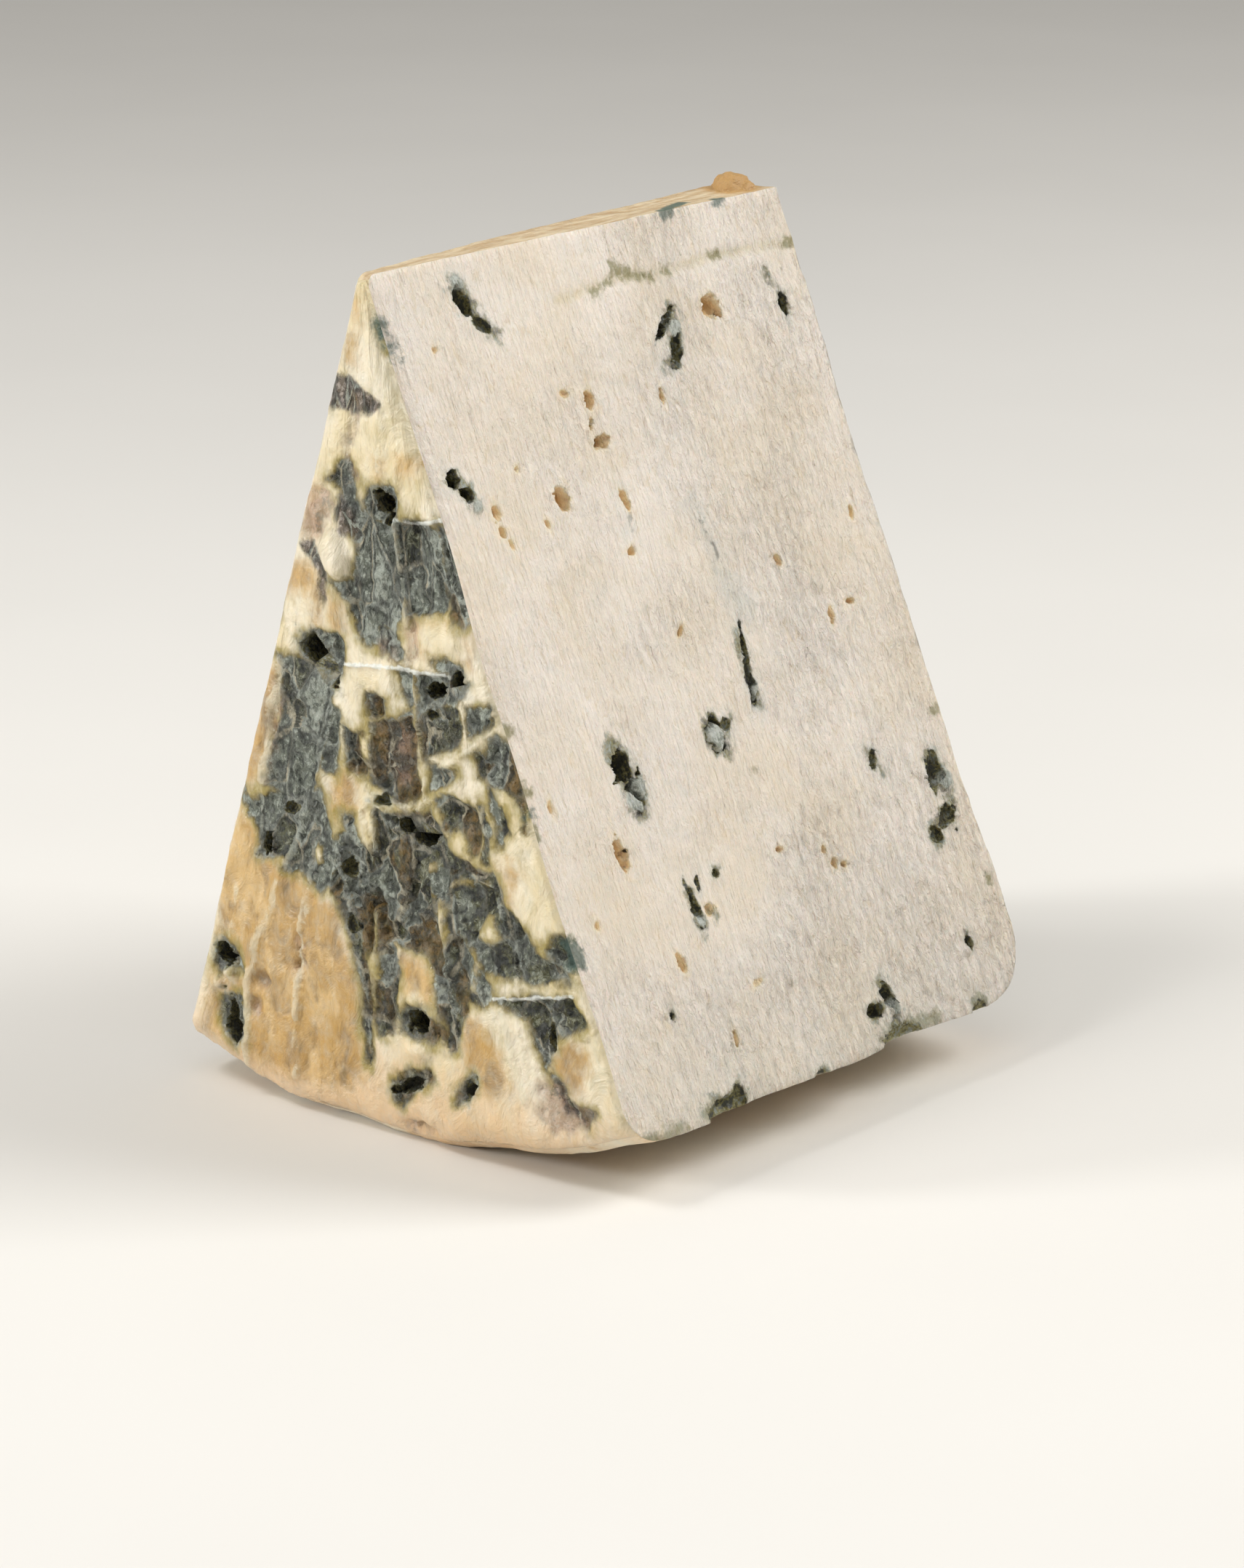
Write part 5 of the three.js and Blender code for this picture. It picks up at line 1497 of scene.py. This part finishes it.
def floor_plaster():
    """Painted plaster: pale, matt and smooth."""
    def build(tree):
        cloud = grain(tree, (180, 180, 180), 3)
        colour = paint(tree, mask(tree, cloud, -0.3, 0.3), linear("#DEDBD5"), linear("#E4E1DB"))
        roughness = weigh(tree, mask(tree, cloud, -0.3, 0.3), 0.75, 0.65)
        return colour, roughness, bumped(tree, [(cloud, 0.2)])
    return food("floor_plaster", {"Specular IOR Level": 0.3}, build)


# The stage

CAMERA_AZIMUTH = 40.55
CAMERA_ELEVATION = 16.78
CAMERA_DISTANCE = 629.5
CAMERA_LENS = 120.07
CAMERA_TARGET = (7.76, -0.19, 36.19)
SENSOR = 36.0
FLOOR_SIDE = 6000.0
SKY_STRENGTH = 0.36

# Softboxes: azimuth and elevation as seen from the cheese, distance, side and power in watts
SOFTBOXES = {
    "key": (132, 42, 900, 440, 5.7),
    "fill": (-36, 56, 900, 240, 2.6),
    "glint": (-38, 16, 900, 170, 4.2),
    "front": (42, 62, 1000, 700, 1.5),
}


def direction(azimuth, elevation):
    a, e = math.radians(azimuth), math.radians(elevation)
    return Vector((math.sin(a) * math.cos(e), -math.cos(a) * math.cos(e), math.sin(e)))


def aim(thing, azimuth, elevation, distance, target):
    """Puts a camera or light at a distance from a target, looking at it."""
    back = direction(azimuth, elevation)
    thing.location = (Vector(target) + back * distance) * MM
    thing.rotation_euler = (-back).to_track_quat("-Z", "Y").to_euler()


def make_camera():
    data = bpy.data.cameras.new("camera")
    data.sensor_fit = "AUTO"
    data.sensor_width = SENSOR
    data.lens = CAMERA_LENS
    camera = bpy.data.objects.new("camera", data)
    aim(camera, CAMERA_AZIMUTH, CAMERA_ELEVATION, CAMERA_DISTANCE, CAMERA_TARGET)
    return camera


def make_softbox(name, azimuth, elevation, distance, side, watts):
    data = bpy.data.lights.new(name, "AREA")
    data.shape = "SQUARE"
    data.size = side * MM
    data.energy = watts
    box = bpy.data.objects.new(name, data)
    aim(box, azimuth, elevation, distance, CAMERA_TARGET)
    return box


def make_floor():
    mesh = bmesh.new()
    bmesh.ops.create_grid(mesh, x_segments=1, y_segments=1, size=FLOOR_SIDE / 2 * MM)
    data = bpy.data.meshes.new("floor")
    mesh.to_mesh(data)
    mesh.free()
    data.materials.append(floor_plaster())
    return bpy.data.objects.new("floor", data)


def light_sky(scene):
    world = bpy.data.worlds.new("studio")
    world.use_nodes = True
    sky = world.node_tree.nodes["Background"]
    sky.inputs["Color"].default_value = linear("#F4F2EE")
    sky.inputs["Strength"].default_value = SKY_STRENGTH
    scene.world = world


# The add-on

COLOURS = {
    "ivory": ("#EFE4D7", "Cut paste"),
    "ivory_warm": ("#EADCC8", "Cut paste where it is warmer"),
    # Painted shade in the hollows between the torn scales
    "ivory_shade": ("#D9C6A6", "Hollows between the torn scales"),
    "tan": ("#F6E1B8", "Pits with no mould"),
    # Painted shade at the bottom of the tan pits
    "tan_deep": ("#E0BA84", "The bottom of those pits"),
    "mould_mist": ("#C2C6BE", "Mould showing through the paste"),
    "mould_blue": ("#8F9488", "Blue-grey mould"),
    "mould_dark": ("#3F4035", "Dark mould"),
    # Painted shade deep inside a mouldy hole
    "hollow": ("#1C1A13", "The inside of a mouldy hole"),
    "crease": ("#CDBE8A", "The crease below the tip"),
    "stain": ("#857E4B", "Olive stains on the cut"),
    "mark": ("#3E5A50", "Blue-green marks over the edges"),
    "cream": ("#EADFC6", "Clear rind"),
    "cream_warm": ("#DECDA2", "Clear rind where it is yellower"),
    "ochre": ("#BF9446", "Ochre rind"),
    "ochre_deep": ("#8C6A2E", "Ochre rind where it is darker"),
    "ochre_pale": ("#DDB97C", "Ochre rind along the folds"),
    "halo": ("#93812C", "Yellow border round the mould"),
    "halo_deep": ("#5A4D1A", "Brown border round the mould"),
    "brown": ("#7E5E3C", "Brown growth"),
    "brown_pink": ("#B89A86", "Pinkish brown growth"),
    "moss": ("#62613A", "Olive mould"),
    # Dark olive mould in the crags, and also the painted shade in the gullies beside the fold crests
    "moss_dark": ("#20221A", "Olive mould in the crags"),
    "moss_pale": ("#A5A78E", "Olive mould where it is dry"),
    "slate": ("#7E8476", "Slate-grey mould"),
    "slate_dark": ("#33372E", "Slate-grey mould in its pores"),
    "slate_pale": ("#C8CEC0", "Slate-grey mould's dust"),
    "lilac": ("#C9BDB4", "Lilac-grey fluff"),
    "lilac_dark": ("#7A6A5C", "Lilac-grey fluff in its pores"),
    "ridge": ("#DCD2B4", "Worn ridges"),
    "thread": ("#ECEEE6", "Thin white fold lines"),
    # Outer rim of the wheel. On the front rind's lowest part it is also painted bounce light from the floor
    "peach": ("#E2BE90", "Outer rim of the wheel"),
    "dried": ("#B99C74", "Dried tip"),
    "dried_pale": ("#D9C6A4", "Dried tip where it is paler"),
    "crust": ("#B8915A", "Dried crust"),
}


class CheeseSizes(bpy.types.PropertyGroup):
    """Sizes of the wheel that the wedge is cut from."""
    radius: bpy.props.FloatProperty(
        name="Wheel radius", description="From the wheel's axis to its rim",
        default=WHEEL_RADIUS * MM, unit="LENGTH", subtype="DISTANCE")
    height: bpy.props.FloatProperty(
        name="Wheel height", description="From one flat rind to the other",
        default=WHEEL_HEIGHT * MM, unit="LENGTH", subtype="DISTANCE")
    left: bpy.props.FloatProperty(
        name="Left cut", description="How far the left cut leans from upright",
        default=math.radians(LEFT_CUT), unit="ROTATION", subtype="ANGLE")
    right: bpy.props.FloatProperty(
        name="Right cut", description="How far the right cut leans from upright",
        default=math.radians(RIGHT_CUT), unit="ROTATION", subtype="ANGLE")


def colour_property(name):
    code, meaning = COLOURS[name]
    return bpy.props.FloatVectorProperty(
        name=name.replace("_", " ").capitalize(), description=meaning,
        default=linear(code), size=4, min=0, max=1, subtype="COLOR")


class CheeseColours(bpy.types.PropertyGroup):
    """Colours of the paste, the rind and the mould."""
    __annotations__ = {name: colour_property(name) for name in COLOURS}


class MakeStage(bpy.types.Operator):
    """Make the floor, the softboxes, the sky and the camera"""
    bl_idname = "cheese.make_stage"
    bl_label = "Make stage"

    def execute(self, context):
        scene = context.scene
        camera = make_camera()
        floor = make_floor()
        boxes = [make_softbox(name, *row) for name, row in SOFTBOXES.items()]
        for thing in (camera, floor, *boxes):
            scene.collection.objects.link(thing)
        scene.camera = camera
        light_sky(scene)
        scene.view_settings.view_transform = "Standard"
        return {"FINISHED"}


class MakeWedge(bpy.types.Operator):
    """Make the wedge of cheese in the frame, with its finish"""
    bl_idname = "cheese.make_wedge"
    bl_label = "Make wedge"

    def execute(self, context):
        sizes = context.scene.cheese_sizes
        colours = context.scene.cheese_colours
        wheel = Wheel(sizes.radius / MM, sizes.height / MM, sizes.left, sizes.right)
        materials = [
            cut_paste("cut_paste", -wheel.right, colours),
            cut_paste("cut_paste_left", wheel.left, colours),
            natural_rind(colours),
            washed_rim(colours),
            dried_tip(colours),
        ]
        wedge = make_wedge(wheel, materials)
        context.scene.collection.objects.link(wedge)
        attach(wedge, "root")
        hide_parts(NODE)
        return {"FINISHED"}


class CheesePanel(bpy.types.Panel):
    """The sizes, the colours and the steps"""
    bl_idname = "VIEW3D_PT_cheese"
    bl_label = "Blue cheese"
    bl_space_type = "VIEW_3D"
    bl_region_type = "UI"
    bl_category = "Cheese"

    def draw(self, context):
        layout = self.layout
        for group in (context.scene.cheese_sizes, context.scene.cheese_colours):
            for name in group.__annotations__:
                layout.prop(group, name)
        for step in STEPS:
            layout.operator(step.bl_idname)


STEPS = (MakeStage, MakeWedge)
CLASSES = (CheeseSizes, CheeseColours, *STEPS, CheesePanel)


def register():
    for cls in CLASSES:
        bpy.utils.register_class(cls)
    bpy.types.Scene.cheese_sizes = bpy.props.PointerProperty(type=CheeseSizes)
    bpy.types.Scene.cheese_colours = bpy.props.PointerProperty(type=CheeseColours)


def unregister():
    del bpy.types.Scene.cheese_colours
    del bpy.types.Scene.cheese_sizes
    for cls in reversed(CLASSES):
        bpy.utils.unregister_class(cls)


def main():
    register()
    bpy.ops.cheese.make_stage()
    bpy.ops.cheese.make_wedge()


if __name__ == "__main__":
    main()
